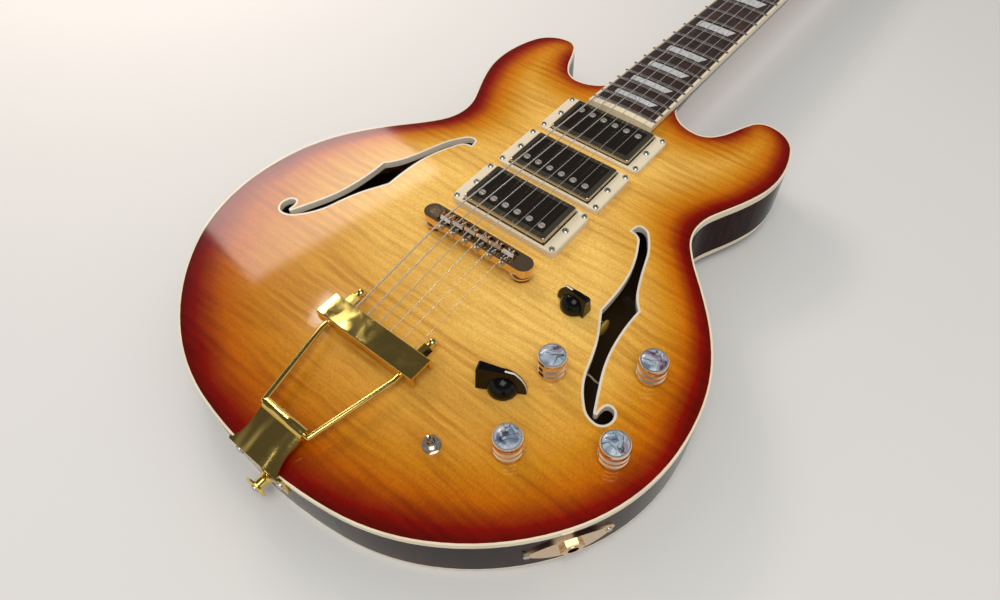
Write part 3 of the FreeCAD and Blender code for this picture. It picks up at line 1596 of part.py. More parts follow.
def make_intonation_screw(index, middle):
    """Slotted screw that runs across the bridge through one saddle."""
    level = "bridge_top-bridge_trough_depth+intonation_height"
    across = string_formula(index, "string_bridge_pitch")
    end = "intonation_head_length+intonation_screw_length"
    screw_body = turned("intonation_screw_%d" % index, [
        ("0", "0"), ("intonation_head_radius", "0"), ("intonation_head_radius", "intonation_head_length"),
        ("intonation_screw_radius", "intonation_head_length"), ("intonation_screw_radius", end), ("0", end)],
        across, middle + "-bridge_width/2-intonation_head_length", level, Rotation(Vector(1, 0, 0), -90))
    slot = box(
        "intonation_slot_%d" % index, "2*intonation_head_radius", "intonation_head_length", "screw_slot/2",
        (across + "-intonation_head_radius", middle + "-bridge_width/2-intonation_head_length*3/2",
         level + "-screw_slot/4"))
    return cut("intonation_%d" % index, screw_body, slot)


def make_bridge():
    """Bridge body with trough, its posts, saddles and intonation screws."""
    middle = "(-saddle_stagger*%d/2)" % (STRING_COUNT - 1)
    low = "bridge_top-bridge_height"
    bar = box(
        "bridge_bar", "bridge_length-bridge_width", "bridge_width", "bridge_height",
        ("-(bridge_length-bridge_width)/2", middle + "-bridge_width/2", low))
    ends = [cylinder(
        "bridge_end_" + side_name, "bridge_width/2", "bridge_height",
        ("%d*(bridge_length-bridge_width)/2" % turn, middle, low)) for turn, side_name in SIDES]
    trough = box(
        "bridge_trough", "bridge_trough_length", "bridge_trough_width", "bridge_height",
        ("-bridge_trough_length/2", middle + "-bridge_trough_width/2", "bridge_top-bridge_trough_depth"))
    pieces, drills = [], []
    for turn, side_name in SIDES:
        parts, drill = make_bridge_post(turn, side_name, middle)
        pieces += parts
        drills.append(drill)
    posts = node(group("bridge_posts", pieces), "bridge_posts")
    screws = [make_intonation_screw(index, middle) for index in range(STRING_COUNT)]
    screws = node(group("intonation_screws", screws), "intonation_screws")
    blank = join("bridge_blank", [bar] + ends)
    node(cut("bridge_body", blank, join("bridge_tools", [trough, posts, screws])), "bridge_body")
    for index in range(STRING_COUNT):
        make_saddle(index)
    return [posts] + drills


def string_formula(index, pitch):
    return "(%g*%s)" % (index - (STRING_COUNT - 1) / 2, pitch)


def make_saddle(index):
    """Saddle with a sharp crest just under its string, bored for the intonation screw."""
    across = string_formula(index, "string_bridge_pitch")
    reach = "(-saddle_stagger*%d)" % (STRING_COUNT - 1 - index)
    crest = "(board_height-%s^2/(2*board_radius)+string_bridge_action-saddle_string_gap)" % across
    floor = "(bridge_top-bridge_trough_depth+saddle_clearance)"
    height = "(%s-%s)" % (crest, floor)
    blank = padded("saddle_blank_%d" % (index + 1), "YZ_Plane", [
        ("-saddle_base_length/2", "0"), ("saddle_base_length/2", "0"),
        ("saddle_base_length/2", "saddle_base_height"), ("saddle_crest_width/2", height),
        ("-saddle_crest_width/2", height), ("-saddle_base_length/2", "saddle_base_height")],
        "saddle_width", across, reach, floor, both=True)
    bore = cylinder(
        "saddle_bore_%d" % (index + 1), "intonation_screw_radius+bore_clearance", "2*bridge_width",
        (across, "-bridge_width", "bridge_top-bridge_trough_depth+intonation_height"),
        Rotation(Vector(1, 0, 0), -90))
    node(cut("saddle_%d" % (index + 1), blank, bore), "saddle_%d" % (index + 1))


# Tailpiece

def make_rod():
    """Bent rod through the hinge barrel, its two arms running into the crossbar."""
    level = size.crossbar_top - size.rod_drop
    bend_reach = size.crossbar_front - size.crossbar_depth - size.rod_bend_gap
    pieces = []
    for side in (-1, 1):
        path = [
            Vector(0, -size.hinge_reach, level), Vector(side * size.rod_hinge_half, -size.hinge_reach, level),
            Vector(side * size.rod_bar_half, bend_reach, level),
            Vector(side * size.rod_bar_half, size.crossbar_front + size.finial_hex_length, level)]
        for start, end in zip(path[:-1], path[1:]):
            pieces.append(rod(size.rod_radius, start, end))
        pieces += [Part.makeSphere(size.rod_radius, point) for point in path[1:3]]
    return pieces[0].fuse(pieces[1:])


def make_finials(rods):
    """Hexagonal nuts with ball ends on the front of the crossbar."""
    pieces = []
    for turn, side_name in SIDES:
        x = "%d*rod_bar_half" % turn
        z = "crossbar_top-rod_drop"
        forward = Rotation(Vector(1, 0, 0), -90)
        hexes = hexagon(
            "finial_hex_" + side_name, "finial_hex_radius", "finial_hex_length",
            x, "crossbar_front", z, forward)
        waist = cylinder(
            "finial_waist_" + side_name, "finial_neck_radius", "finial_neck_length+finial_ball_radius",
            (x, "crossbar_front+finial_hex_length", z), forward)
        ball = primitive(
            "Sphere", "finial_ball_" + side_name, dict(Radius="finial_ball_radius"),
            x, "crossbar_front+finial_hex_length+finial_neck_length+finial_ball_reach", z)
        blank = join("finial_blank_" + side_name, [hexes, waist, ball])
        pieces.append(cut("finial_" + side_name, blank, rods))
    return pieces


def make_hinge(rods):
    """Waisted strap with a rolled barrel, bent down over the tail of the rim."""
    level = size.crossbar_top - size.rod_drop
    thick = size.hinge_plate_thickness
    tail = -size.tail_reach
    half = size.hinge_flange_half
    top = edge_top + size.hinge_corner_rise
    side = [
        Vector(-half, -size.hinge_reach, level + thick), Vector(-half, tail - thick, top + thick),
        Vector(-half, tail - thick, edge_top), Vector(-half, tail, edge_top), Vector(-half, tail, top),
        Vector(-half, -size.hinge_reach, level)]
    strap = Part.Face(Part.makePolygon(side + side[:1])).extrude(Vector(2 * half, 0, 0))
    chord = (size.tail_reach - size.hinge_reach) / 2
    dip = size.hinge_half_width - size.hinge_waist_half
    bend = (chord ** 2 + dip ** 2) / (2 * dip)
    for turn in (-1, 1):
        centre = Vector(turn * (size.hinge_waist_half + bend), tail + chord, 0)
        strap = strap.cut(Part.makeCylinder(bend, 2 * size.rim_depth, centre))
    flange = rim_plate(thick, edge_top - size.hinge_flange_drop, top)
    flange = flange.common(slab_box(-half, half, tail - size.rim_depth, 0, 0, 2 * size.rim_depth))
    barrel_half = size.hinge_barrel_half
    axis = Vector(barrel_half, -size.hinge_reach, level)
    barrel = rod(size.hinge_barrel_radius, Vector(-barrel_half, -size.hinge_reach, level), axis)
    clear = slab_box(-half, half, -size.hinge_reach, 0, 0, 2 * size.rim_depth)
    for turn in (-1, 1):
        low = barrel_half if turn > 0 else -half
        clear = clear.fuse(slab_box(low, low + half - barrel_half, tail + chord, 0, 0, 2 * size.rim_depth))
    return strap.cut(clear).fuse([flange, barrel]).cut(rods)


def make_crossbar(rods):
    """Inverted channel with string holes in its front lip."""
    front, back = "crossbar_front", "crossbar_front-crossbar_depth"
    top, low = "crossbar_top", "crossbar_top-crossbar_lip"
    channel = padded("crossbar_channel", "YZ_Plane", [
        (back, low), (back, top), (front, top), (front, low), (front + "-crossbar_wall", low),
        (front + "-crossbar_wall", top + "-crossbar_wall"), (back + "+crossbar_wall", top + "-crossbar_wall"),
        (back + "+crossbar_wall", low)], "2*crossbar_half_length", both=True)
    round_body(
        channel, "crossbar_corner",
        lambda edge: is_level(edge, size.crossbar_top) and edge.Length > size.crossbar_half_length)
    holes = [cylinder(
        "string_hole_%d" % index, "string_hole_radius", "2*crossbar_wall",
        (string_formula(index, "string_tail_pitch"), "crossbar_front-crossbar_wall*3/2",
         "crossbar_top-string_hole_drop"), Rotation(Vector(1, 0, 0), -90)) for index in range(STRING_COUNT)]
    return cut("crossbar", channel, join("crossbar_tools", holes + [rods]))


# Tuners, in the headstock frame

def make_tuner_housing(number, x, y, shaft_y, outward):
    """Case with its screw tab and the bushing of the post, and the hole they need in the wood."""
    outer = box(
        "tuner_case_%d" % number, "tuner_case_width", "tuner_case_length", "tuner_case_height",
        (x + "-tuner_case_width/2", y + "-tuner_case_back", HEAD_BACK + "-tuner_case_height"))
    tab = box(
        "tuner_tab_%d" % number, "tuner_tab_width", "tuner_case_length", "tuner_tab_thickness",
        (x + "-tuner_tab_width/2", y + "-tuner_case_back+tuner_tab_length",
         HEAD_BACK + "-tuner_tab_thickness"))
    inner = box(
        "tuner_room_%d" % number,
        "tuner_case_width-2*tuner_case_wall", "tuner_case_length-2*tuner_case_wall",
        "tuner_case_height-tuner_case_wall",
        (x + "-tuner_case_width/2+tuner_case_wall", y + "-tuner_case_back+tuner_case_wall",
         HEAD_BACK + "-tuner_case_height+tuner_case_wall"))
    bore = cylinder(
        "tuner_bore_%d" % number, "tuner_shaft_radius+bore_clearance", "tuner_case_width",
        (x, shaft_y, TUNER_AXIS), outward)
    bushing = turned("tuner_bushing_%d" % number, [
        ("tuner_post_radius+bore_clearance", HEAD_BACK), ("tuner_hole_radius", HEAD_BACK),
        ("tuner_hole_radius", "0"), ("tuner_bushing_radius", "0"),
        ("tuner_bushing_radius", "tuner_bushing_height/2"),
        ("tuner_bushing_radius-tuner_bushing_height/2", "tuner_bushing_height"),
        ("tuner_post_radius+bore_clearance", "tuner_bushing_height")], x, y)
    blank = join("tuner_blank_%d" % number, [outer, tab])
    shell = cut("tuner_shell_%d" % number, blank, join("tuner_tools_%d" % number, [inner, bore]))
    hole = cylinder(
        "tuner_hole_%d" % number, "tuner_hole_radius", "2*head_thickness",
        (x, y, HEAD_BACK + "-head_thickness/4"))
    return [cut("tuner_housing_%d" % number, shell, head_screws_local), bushing], hole


def make_tuner_post(number, x, y):
    """Post with its gear and the eye for the string."""
    gear_low = TUNER_AXIS + "-tuner_gear_height/2"
    gear_top = TUNER_AXIS + "+tuner_gear_height/2"
    post = turned("tuner_post_blank_%d" % number, [
        ("0", gear_low), ("tuner_gear_radius", gear_low), ("tuner_gear_radius", gear_top),
        ("tuner_post_radius", gear_top), ("tuner_post_radius", "tuner_post_height-tuner_post_chamfer"),
        ("tuner_post_radius-tuner_post_chamfer", "tuner_post_height"), ("0", "tuner_post_height")], x, y)
    eye = cylinder(
        "tuner_eye_%d" % number, "string_thickest", "4*tuner_post_radius",
        (x + "-2*tuner_post_radius", y, "tuner_post_height-tuner_post_radius*2"),
        Rotation(Vector(0, 1, 0), 90))
    node(on_head(cut("tuner_post_%d" % number, post, eye)), "tuner_post_%d" % number)


def make_tuner_button(number, side, x, shaft_y, outward):
    """Oval grip on a collar, its shaft and worm."""
    start = x + "%+d*(tuner_case_width/2-tuner_case_wall*2)" % -side
    shaft_end = "(tuner_case_width/2+tuner_shaft_reach)"
    shaft = cylinder(
        "tuner_shaft_%d" % number, "tuner_shaft_radius",
        "tuner_case_width-tuner_case_wall*2+tuner_shaft_reach", (start, shaft_y, TUNER_AXIS), outward)
    worm = cylinder(
        "tuner_worm_%d" % number, "tuner_worm_radius", "tuner_case_width/2",
        (x + "%+d*tuner_case_width/4" % -side, shaft_y, TUNER_AXIS), outward)
    collar = cylinder(
        "tuner_collar_%d" % number, "tuner_collar_radius", "tuner_button_length/2",
        (x + "%+d*(%s-tuner_button_length/4)" % (side, shaft_end), shaft_y, TUNER_AXIS), outward)
    grip = primitive(
        "Ellipsoid", "tuner_grip_%d" % number,
        dict(Radius1="tuner_button_thickness/2", Radius2="tuner_button_length/2",
             Radius3="tuner_button_width/2"),
        x + "%+d*(%s+tuner_button_length/2)" % (side, shaft_end), shaft_y, TUNER_AXIS,
        Rotation(Vector(0, 0, 1), 90 - 90 * side))
    button = join("tuner_button_%d" % number, [shaft, worm, collar, grip])
    node(on_head(button), "tuner_button_%d" % number)


def make_tuners():
    """Cases with bushings, posts with gears and buttons with worm shafts."""
    pieces, holes = [], []
    for number, (side, across, reach) in enumerate(tuner_spots(), start=1):
        row = (number - 1) % (STRING_COUNT // 2)
        x = "%d*(tuner_inset_first+%d*tuner_inset_step)" % (side, row)
        y = "(tuner_first+%d*tuner_spacing)" % row
        shaft_y = y + "+tuner_gear_radius+tuner_worm_radius+tuner_worm_gap"
        outward = Rotation(Vector(0, 1, 0), 90 * side)
        parts, hole = make_tuner_housing(number, x, y, shaft_y, outward)
        pieces += parts
        holes.append(hole)
        make_tuner_post(number, x, y)
        make_tuner_button(number, side, x, shaft_y, outward)
    node(on_head(group("tuner_housings", pieces)), "tuner_housings")
    return holes


def on_head(thing):
    thing.Placement = head_placement()
    return thing


# Assembly

def carved(name, shape, tools):
    """Wood or plastic with the real pieces that sit in it cut away."""
    return feature(name, shape.cut(shapes(tools)))


def make_head_parts(tuner_holes):
    """Neck, headstock face, truss cover and truss rod."""
    head = head_placement()
    holes = [moved(shape, head) for shape in shapes(tuner_holes)]
    pocket = moved(truss_cavity(), head)
    bar = node(feature("truss_rod", moved(make_truss_rod(), neck_placement())), "truss_rod")
    face = moved(head_slab(-size.head_face_thickness, 0), head)
    seat = button_seats()[1]
    flat = moved(Part.makeCylinder(size.button_base_radius + size.bore_clearance, size.heel_depth), seat)
    screws = shapes([small_screws, hardware_screws])
    node(feature("headstock_face", face.cut(holes + [pocket, small_screws.Shape])), "headstock_face")
    node(feature("neck", neck_blank.cut(holes + screws + [pocket, face, flat, bar.Shape])), "neck")
    cover = moved(make_truss_cover(), head).cut(small_screws.Shape)
    node(feature("truss_rod_cover", cover), "truss_rod_cover")


def make_board_nodes():
    labels = ("fretboard", "fretboard_binding", "frets", "inlays")
    for label, shape in zip(labels, make_board_parts()):
        node(feature(label, moved(shape, neck_placement())), label)


def make_buttons():
    """Two strap buttons with a screw hole through each."""
    pieces = []
    for (side_name, _), seat in zip((("tail", 0), ("heel", 1)), button_seats()):
        button = turned("button_" + side_name, [
            ("hardware_screw_radius", "0"), ("button_base_radius", "0"),
            ("button_neck_radius", "button_length/3"),
        ("button_neck_radius", "button_length-button_flange_thickness"),
            ("button_flange_radius", "button_length-button_flange_thickness*2/3"),
            ("button_flange_radius", "button_length-button_flange_thickness/3"),
            ("button_flange_radius-button_flange_thickness/3", "button_length"),
            ("hardware_screw_radius", "button_length")])
        button.Placement = seat
        pieces.append(button)
    node(group("strap_buttons", pieces), "strap_buttons")


def make_jack():
    """Socket through the treble rim with its pointed plate and nut."""
    point, outward = jack_seat()
    seat = facing(point, outward, size.jack_height)
    sleeve = turned("jack_sleeve", [
        ("jack_bore_radius", "-jack_length"), ("jack_seat_radius", "-jack_length"),
        ("jack_seat_radius", "-rim_thickness-overrun"), ("jack_barrel_radius", "-rim_thickness-overrun"),
        ("jack_barrel_radius", "jack_plate_thickness+jack_nut_height+control_gap"),
        ("jack_bore_radius", "jack_plate_thickness+jack_nut_height+control_gap")])
    hexes = hexagon("jack_nut_blank", "jack_nut_radius", "jack_nut_height", 0, 0, "jack_plate_thickness")
    hole = cylinder("jack_nut_hole", "jack_barrel_radius", "rim_depth", (0, 0, 0))
    nut = cut("jack_nut", hexes, hole)
    half = size.jack_plate_length / 2
    bulge = size.jack_plate_width / 2
    bend = (half ** 2 + bulge ** 2) / (2 * bulge)
    lens = Part.makeCylinder(bend, 4 * size.rim_thickness, Vector(0, bend - bulge, -2 * size.rim_thickness))
    low_center = Vector(0, bulge - bend, -2 * size.rim_thickness)
    lens = lens.common(Part.makeCylinder(bend, 4 * size.rim_thickness, low_center))
    turn = Placement(Vector(), Rotation(Vector(0, 0, 1), jack_roll(seat)))
    lens = moved(lens, seat.multiply(turn))
    layer = rim_plate(size.jack_plate_thickness, 0, edge_top)
    drill = Part.makeCylinder(size.jack_barrel_radius, 2 * size.jack_length, Vector(0, 0, -size.jack_length))
    drill = moved(drill, seat)
    plate = feature("jack_plate", layer.common(lens).cut([drill, small_screws.Shape]))
    for piece in (sleeve, nut):
        piece.Placement = seat
    node(group("output_jack", [sleeve, nut, plate]), "output_jack")
    return drill


def jack_roll(seat):
    """Turn about the outward direction that lays the plate's length along the rim."""
    level = seat.Rotation.inverted().multVec(Vector(0, 0, 1))
    return math.degrees(math.atan2(level.y, level.x)) - 90


def make_tailpiece():
    bar = feature("tailpiece_rods", make_rod())
    node(group("tailpiece_rod", [bar] + make_finials(bar)), "tailpiece_rod")
    node(make_crossbar(bar), "tailpiece_crossbar")
    hinge = make_hinge(bar.Shape).cut(hardware_screws.Shape)
    node(feature("tailpiece_hinge", hinge), "tailpiece_hinge_plate")


def make_wood(cavities, control_holes, bridge_drills, jack_drill):
    """Body pieces with every pocket and hole cut by what sits in it."""
    neck = feature("neck_blank", neck_blank)
    jack = feature("jack_drill", jack_drill)
    bindings = make_bindings()
    node(feature("body_bindings", bindings), "body_bindings")
    node(feature("fhole_bindings", make_fhole_bindings()), "fhole_bindings")
    top_tools = cavities + control_holes + bridge_drills + [ring_screws, neck]
    top = carved("top_plate", make_top_plate(), top_tools)
    node(top, "top_plate")
    node(feature("back_plate", make_back_plate()), "back_plate")
    node(carved("rim", make_rim(bindings), [hardware_screws, small_screws, jack]), "rim")
    node(feature("linings", make_linings()), "linings")
    block_tools = cavities + bridge_drills + [ring_screws, hardware_screws, neck]
    block = carved("centre_block", make_block(), block_tools)
    node(block, "centre_block")


neck_blank = make_neck()
top_form = feature("top_form", outer_ball)
ring_screws = copies("ring_screws", screw(
    "ring_screw", "ring_screw_head", "ring_screw_radius", "ring_screw_length"), ring_screw_spots())
height_screws = copies("height_screws", screw(
    "height_screw", "height_screw_head", "height_screw_radius", "height_screw_length"), height_screw_spots())
small_screws = copies("small_screws", screw(
    "small_screw", "small_screw_head", "small_screw_radius", "small_screw_length"), small_screw_spots())
hardware_screws = copies("hardware_screws", screw(
    "hardware_screw", "hardware_screw_head", "hardware_screw_radius", "hardware_screw_length"),
    hardware_screw_spots())
node(group("mounting_screws", [ring_screws, height_screws, small_screws, hardware_screws]), "mounting_screws")
ring_holes = group("ring_holes", [ring_screws, height_screws])
head_screws_local = feature("head_screws_local", moved(small_screws.Shape, head_placement().inverse()))

node(group("pickup_rings", [make_ring(which) for which, _ in PICKUPS]), "pickup_rings")
for which, side in PICKUPS:
    make_pickup(which, side)
make_wood([make_cavity(which) for which, _ in PICKUPS], make_controls(), make_bridge(), make_jack())
make_tailpiece()
make_buttons()
make_head_parts(make_tuners())
make_board_nodes()
strings = [make_string(index) for index in range(STRING_COUNT)]
node(feature("strings", Part.makeCompound(strings)), "strings")
node(feature("nut", make_nut()), "nut")


# Export

document.recompute()
failed = [thing.Label for thing in document.Objects if "Invalid" in thing.State or "Error" in thing.State]
if failed:
    raise RuntimeError("objects failed: " + ", ".join(failed))
for thing in nodes:
    if thing.Shape.isNull() or not thing.Shape.isValid():
        raise RuntimeError("bad shape: " + thing.Label)
os.makedirs("parts", exist_ok=True)
for thing in nodes:
    thing.Shape.exportStep("parts/%s.step" % thing.Label)
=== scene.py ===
import json
import math

import bmesh
import bpy
from bpy.props import FloatProperty, FloatVectorProperty, PointerProperty
from bpy.types import Operator, Panel, PropertyGroup
from mathutils import Matrix, Vector


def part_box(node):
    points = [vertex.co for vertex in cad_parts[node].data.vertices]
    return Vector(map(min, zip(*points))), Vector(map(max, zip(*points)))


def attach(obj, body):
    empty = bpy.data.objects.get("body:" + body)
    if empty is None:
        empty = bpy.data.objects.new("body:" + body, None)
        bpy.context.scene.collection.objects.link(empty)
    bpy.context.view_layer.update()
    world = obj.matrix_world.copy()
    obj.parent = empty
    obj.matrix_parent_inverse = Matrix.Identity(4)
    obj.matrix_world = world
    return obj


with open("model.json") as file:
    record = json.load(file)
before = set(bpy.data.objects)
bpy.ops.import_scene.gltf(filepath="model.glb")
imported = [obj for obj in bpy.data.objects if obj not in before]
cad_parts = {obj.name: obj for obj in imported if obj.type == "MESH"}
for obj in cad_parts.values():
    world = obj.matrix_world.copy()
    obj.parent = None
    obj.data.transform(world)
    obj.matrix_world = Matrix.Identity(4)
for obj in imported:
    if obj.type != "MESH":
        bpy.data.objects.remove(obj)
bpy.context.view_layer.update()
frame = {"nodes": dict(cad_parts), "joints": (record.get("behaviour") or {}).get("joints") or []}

bl_info = {
    "name": "Semi-hollow electric guitar",
    "version": (1, 0, 0),
    "blender": (4, 5, 0),
    "location": "3D View > Sidebar > Guitar",
    "description": "Lacquer, woods, metals, inner wiring and studio for a semi-hollow electric guitar",
    "category": "Object",
}

MM = 0.001
STATIC = "guitar_body"

# Plan of the body in millimetres, as the sprayer of the burst sees it
HALF_WIDTH = 180.0
LOWER_MIDDLE = -41.0
LOWER_REACH = 150.5
WIDTH_TOP = 240.0
WIDTHS = (
    (-41, 180), (-10, 176), (20, 165), (45, 148), (70, 126), (90, 110), (108, 105),
    (125, 110), (150, 121), (175, 128), (200, 127), (220, 121), (232, 110), (240, 88))
CUTAWAY_X, CUTAWAY_Y, CUTAWAY_RADIUS = 53.0, 221.0, 25.0
HORN_END = 239.0
# Millimetres in from the edge for each step in of the lower oval, as a share of the half width
OVAL_SHARE = 0.45
# Slant and start of the depth that is counted from the sides
SIDE_SLANT, SIDE_START = 0.95, 4.0
# Half the band in which oval and sides blend, and the rounding where two edges meet
BLEND_HALF = 20.0
EDGE_ROUNDING = 10.0


def paint(red, green, blue):
    """A display colour, 0 to 255 a channel, as the linear colour that Blender keeps."""
    shares = [channel / 255 for channel in (red, green, blue)]
    return tuple(
        share / 12.92 if share <= 0.04045 else ((share + 0.055) / 1.055) ** 2.4 for share in shares)


def opaque(colour):
    return (*colour[:3], 1.0)


def colour_of(label, text, default):
    return FloatVectorProperty(
        name=label, description=text, subtype="COLOR", size=3, min=0.0, max=1.0, default=default)


def length_of(label, text, default):
    return FloatProperty(
        name=label, description=text, subtype="DISTANCE", unit="LENGTH", min=0.0, default=default,
        precision=4)


def share_of(label, text, default):
    return FloatProperty(
        name=label, description=text, subtype="FACTOR", min=0.0, max=1.0, default=default)


def power_of(label, text, default):
    return FloatProperty(name=label, description=text, min=0.0, default=default)


# Sizes and colours to change

class GuitarLacquer(PropertyGroup):
    honey: colour_of("Honey", "Middle of the top", paint(255, 211, 112))
    amber: colour_of("Amber", "Ring round the middle of the top", paint(226, 163, 38))
    orange: colour_of("Orange", "Ring inside the dark edge", paint(208, 116, 0))
    cherry: colour_of("Cherry", "Edge of the top", paint(146, 16, 0))
    burst: length_of("Burst width", "From the edge to the end of the colour change", 0.09)
    flame: share_of("Flame", "Strength of the stripes across the maple", 0.62)
    flame_pitch: length_of("Flame pitch", "From one stripe of the maple to the next", 0.0046)
    side: colour_of("Sides", "Lacquer on the rim", paint(20, 12, 13))
    back: colour_of("Back", "Lacquer on the back", paint(88, 18, 12))
    head: colour_of("Head", "Lacquer on the face of the head", paint(9, 8, 9))


class GuitarWoods(PropertyGroup):
    neck: colour_of("Neck", "Stained neck wood", paint(74, 26, 20))
    board: colour_of("Fingerboard", "Wood of the fingerboard", paint(54, 28, 24))
    inner: colour_of("Inside", "Bare wood inside the body", paint(176, 134, 88))


class GuitarMetals(PropertyGroup):
    gold: colour_of("Gold", "Gold plating", paint(232, 200, 112))
    rose: colour_of("Rose gold", "Bridge, knobs and jack", paint(232, 200, 162))
    cover: colour_of("Pickup cover", "Field of the pickup covers", paint(118, 108, 98))
    nickel: colour_of("Nickel", "Frets, saddles and switch", paint(214, 208, 198))
    steel: colour_of("Steel", "Screws and strings", paint(226, 222, 214))
    # The lighter frame colour is a painted highlight on the bevelled edges of the pickup covers
    frame: colour_of("Cover frame", "Raised edge of the pickup covers", paint(206, 192, 164))
    zinc: colour_of("Zinc", "Cases of the controls", paint(138, 138, 134))


class GuitarTrim(PropertyGroup):
    cream: colour_of("Cream", "Bindings and pickup rings", paint(236, 222, 192))
    white: colour_of("White", "F-hole bindings and selector lines", paint(226, 216, 196))
    black: colour_of("Black", "Selector knobs and covers", paint(9, 9, 10))
    bone: colour_of("Bone", "Nut", paint(228, 216, 186))
    pearl: colour_of("Pearl", "Block inlays", paint(196, 194, 196))
    wire: length_of("Wire", "Thickness of the wires inside the body", 0.0013)


class GuitarStudio(PropertyGroup):
    floor: colour_of("Floor", "Floor and backdrop", paint(226, 225, 222))
    softbox: power_of("Softbox", "Power of the lamp on the bass side", 5.0)
    spark: power_of("Spark", "Power of the small lamp seen in the tailpiece", 0.3)
    overhead: power_of("Overhead", "Power of the lamp above the neck", 20.0)
    sky: share_of("Sky", "Level of the light from all round", 0.58)
    zenith: share_of("Zenith", "Level of the sky straight up, as metal shows it", 0.11)


# Shaders

class Value:
    """A number that changes over a surface. Sums of values add their own nodes."""

    def __init__(self, finish, socket):
        self.finish = finish
        self.socket = socket

    def __add__(self, other):
        return self.finish.sum("ADD", self, other)

    def __sub__(self, other):
        return self.finish.sum("SUBTRACT", self, other)

    def __rsub__(self, other):
        return self.finish.sum("SUBTRACT", other, self)

    def __mul__(self, other):
        return self.finish.sum("MULTIPLY", self, other)

    def __truediv__(self, other):
        return self.finish.sum("DIVIDE", self, other)

    def __pow__(self, other):
        return self.finish.sum("POWER", self, other)

    def __gt__(self, other):
        return self.finish.sum("GREATER_THAN", self, other)

    def __lt__(self, other):
        return self.finish.sum("LESS_THAN", self, other)

    def __abs__(self):
        return self.finish.sum("ABSOLUTE", self)

    __radd__ = __add__
    __rmul__ = __mul__


class Shader:
    """Nodes of a material or of the world."""

    def __init__(self, owner):
        owner.use_nodes = True
        self.tree = owner.node_tree
        self.tree.nodes.clear()

    def add(self, kind, settings=None, sockets=None, output=0):
        """Adds a node: its settings first, then the values or links of its sockets."""
        node = self.tree.nodes.new(kind)
        for key, value in (settings or {}).items():
            if key == "stops":
                self.fill_ramp(node.color_ramp, value)
            elif key == "points":
                self.fill_curve(node.mapping, value)
            else:
                setattr(node, key, value)
        for key, value in (sockets or {}).items():
            if isinstance(value, Value):
                self.tree.links.new(value.socket, node.inputs[key])
            else:
                node.inputs[key].default_value = value
        return Value(self, node.outputs[output]) if len(node.outputs) else node

    def fill_ramp(self, ramp, stops):
        while len(ramp.elements) < len(stops):
            ramp.elements.new(1.0)
        for element, (place, colour) in zip(ramp.elements, stops):
            element.position = place
            element.color = opaque(colour if isinstance(colour, tuple) else (colour,) * 3)

    def fill_curve(self, mapping, points):
        curve = mapping.curves[0]
        while len(curve.points) < len(points):
            curve.points.new(1.0, 1.0)
        for point, place in zip(curve.points, points):
            point.location = place
        mapping.update()

    def sum(self, operation, *values, clamp=False):
        settings = {"operation": operation, "use_clamp": clamp}
        return self.add("ShaderNodeMath", settings, dict(enumerate(values)))

    def vector(self, operation, *values, output="Vector"):
        settings = {"operation": operation}
        return self.add("ShaderNodeVectorMath", settings, dict(enumerate(values)), output)

    def step(self, value, low, high, start=0.0, end=1.0):
        """Smooth change from start at low to end at high."""
        return self.add("ShaderNodeMapRange", {"interpolation_type": "SMOOTHSTEP"}, {
            "Value": value, "From Min": low, "From Max": high,
            "To Min": start, "To Max": end}, "Result")


class Finish(Shader):
    """One material. Lengths in its patterns are millimetres on the object."""

    def __init__(self, name):
        self.material = bpy.data.materials.new(name)
        super().__init__(self.material)
        self.spot = self.add("ShaderNodeTexCoord", output="Object")

    def axes(self):
        """Position on the object in millimetres: x, y and z."""
        place = self.vector("MULTIPLY", self.spot, (1 / MM,) * 3)
        parts = [self.add("ShaderNodeSeparateXYZ", None, {0: place}, name) for name in "XYZ"]
        return parts

    def point(self, x, y, z):
        return self.add("ShaderNodeCombineXYZ", None, {0: x, 1: y, 2: z})

    def stretched(self, x, y, z):
        """Pattern position in which one step is x, y or z millimetres on the object."""
        return self.vector("MULTIPLY", self.spot, (1 / (x * MM), 1 / (y * MM), 1 / (z * MM)))

    def noise(self, place, detail=2.0, roughness=0.5, warp=0.0):
        return self.add("ShaderNodeTexNoise", None, {
            "Vector": place, "Scale": 1.0, "Detail": detail, "Roughness": roughness,
            "Distortion": warp}, "Fac")

    def cells(self, place, output="Distance"):
        return self.add("ShaderNodeTexVoronoi", None, {"Vector": place, "Scale": 1.0}, output)

    def ramp(self, value, stops):
        return self.add("ShaderNodeValToRGB", {"stops": stops}, {"Fac": value}, "Color")

    def curve(self, value, points):
        return self.add("ShaderNodeFloatCurve", {"points": points}, {"Value": value})

    def blend(self, factor, first, second, mode="MIX"):
        """Second colour over the first by a factor."""
        first, second = [opaque(tuple(c)) if not isinstance(c, Value) else c for c in (first, second)]
        settings = {"data_type": "RGBA", "blend_type": mode}
        return self.add("ShaderNodeMix", settings, {0: factor, 6: first, 7: second}, 2)

    def bump(self, height, depth, strength=1.0):
        """Relief of that depth in millimetres."""
        sockets = {"Height": height, "Strength": strength, "Distance": depth * MM}
        return self.add("ShaderNodeBump", None, sockets)

    def shade(self, colour, roughness, metallic=0.0, normal=None, **fixed):
        """Surface shader: fixed values are given by socket name with underscores."""
        if not isinstance(colour, Value):
            colour = opaque(tuple(colour))
        sockets = {"Base Color": colour, "Roughness": roughness, "Metallic": metallic}
        for key, value in fixed.items():
            sockets[key.replace("_", " ")] = value
        if normal is not None:
            sockets["Normal"] = normal
        surface = self.add("ShaderNodeBsdfPrincipled", None, sockets, "BSDF")
        self.add("ShaderNodeOutputMaterial", None, {"Surface": surface})
        return self.material


def dress(material, *names):
    """Gives CAD nodes a finish."""
    for name in names:
        for slot in frame["nodes"][name].material_slots:
            slot.material = material


def darker(colour, share):
    return tuple(channel * share for channel in colour)


def between(first, second, share):
    return tuple(a + (b - a) * share for a, b in zip(first, second))


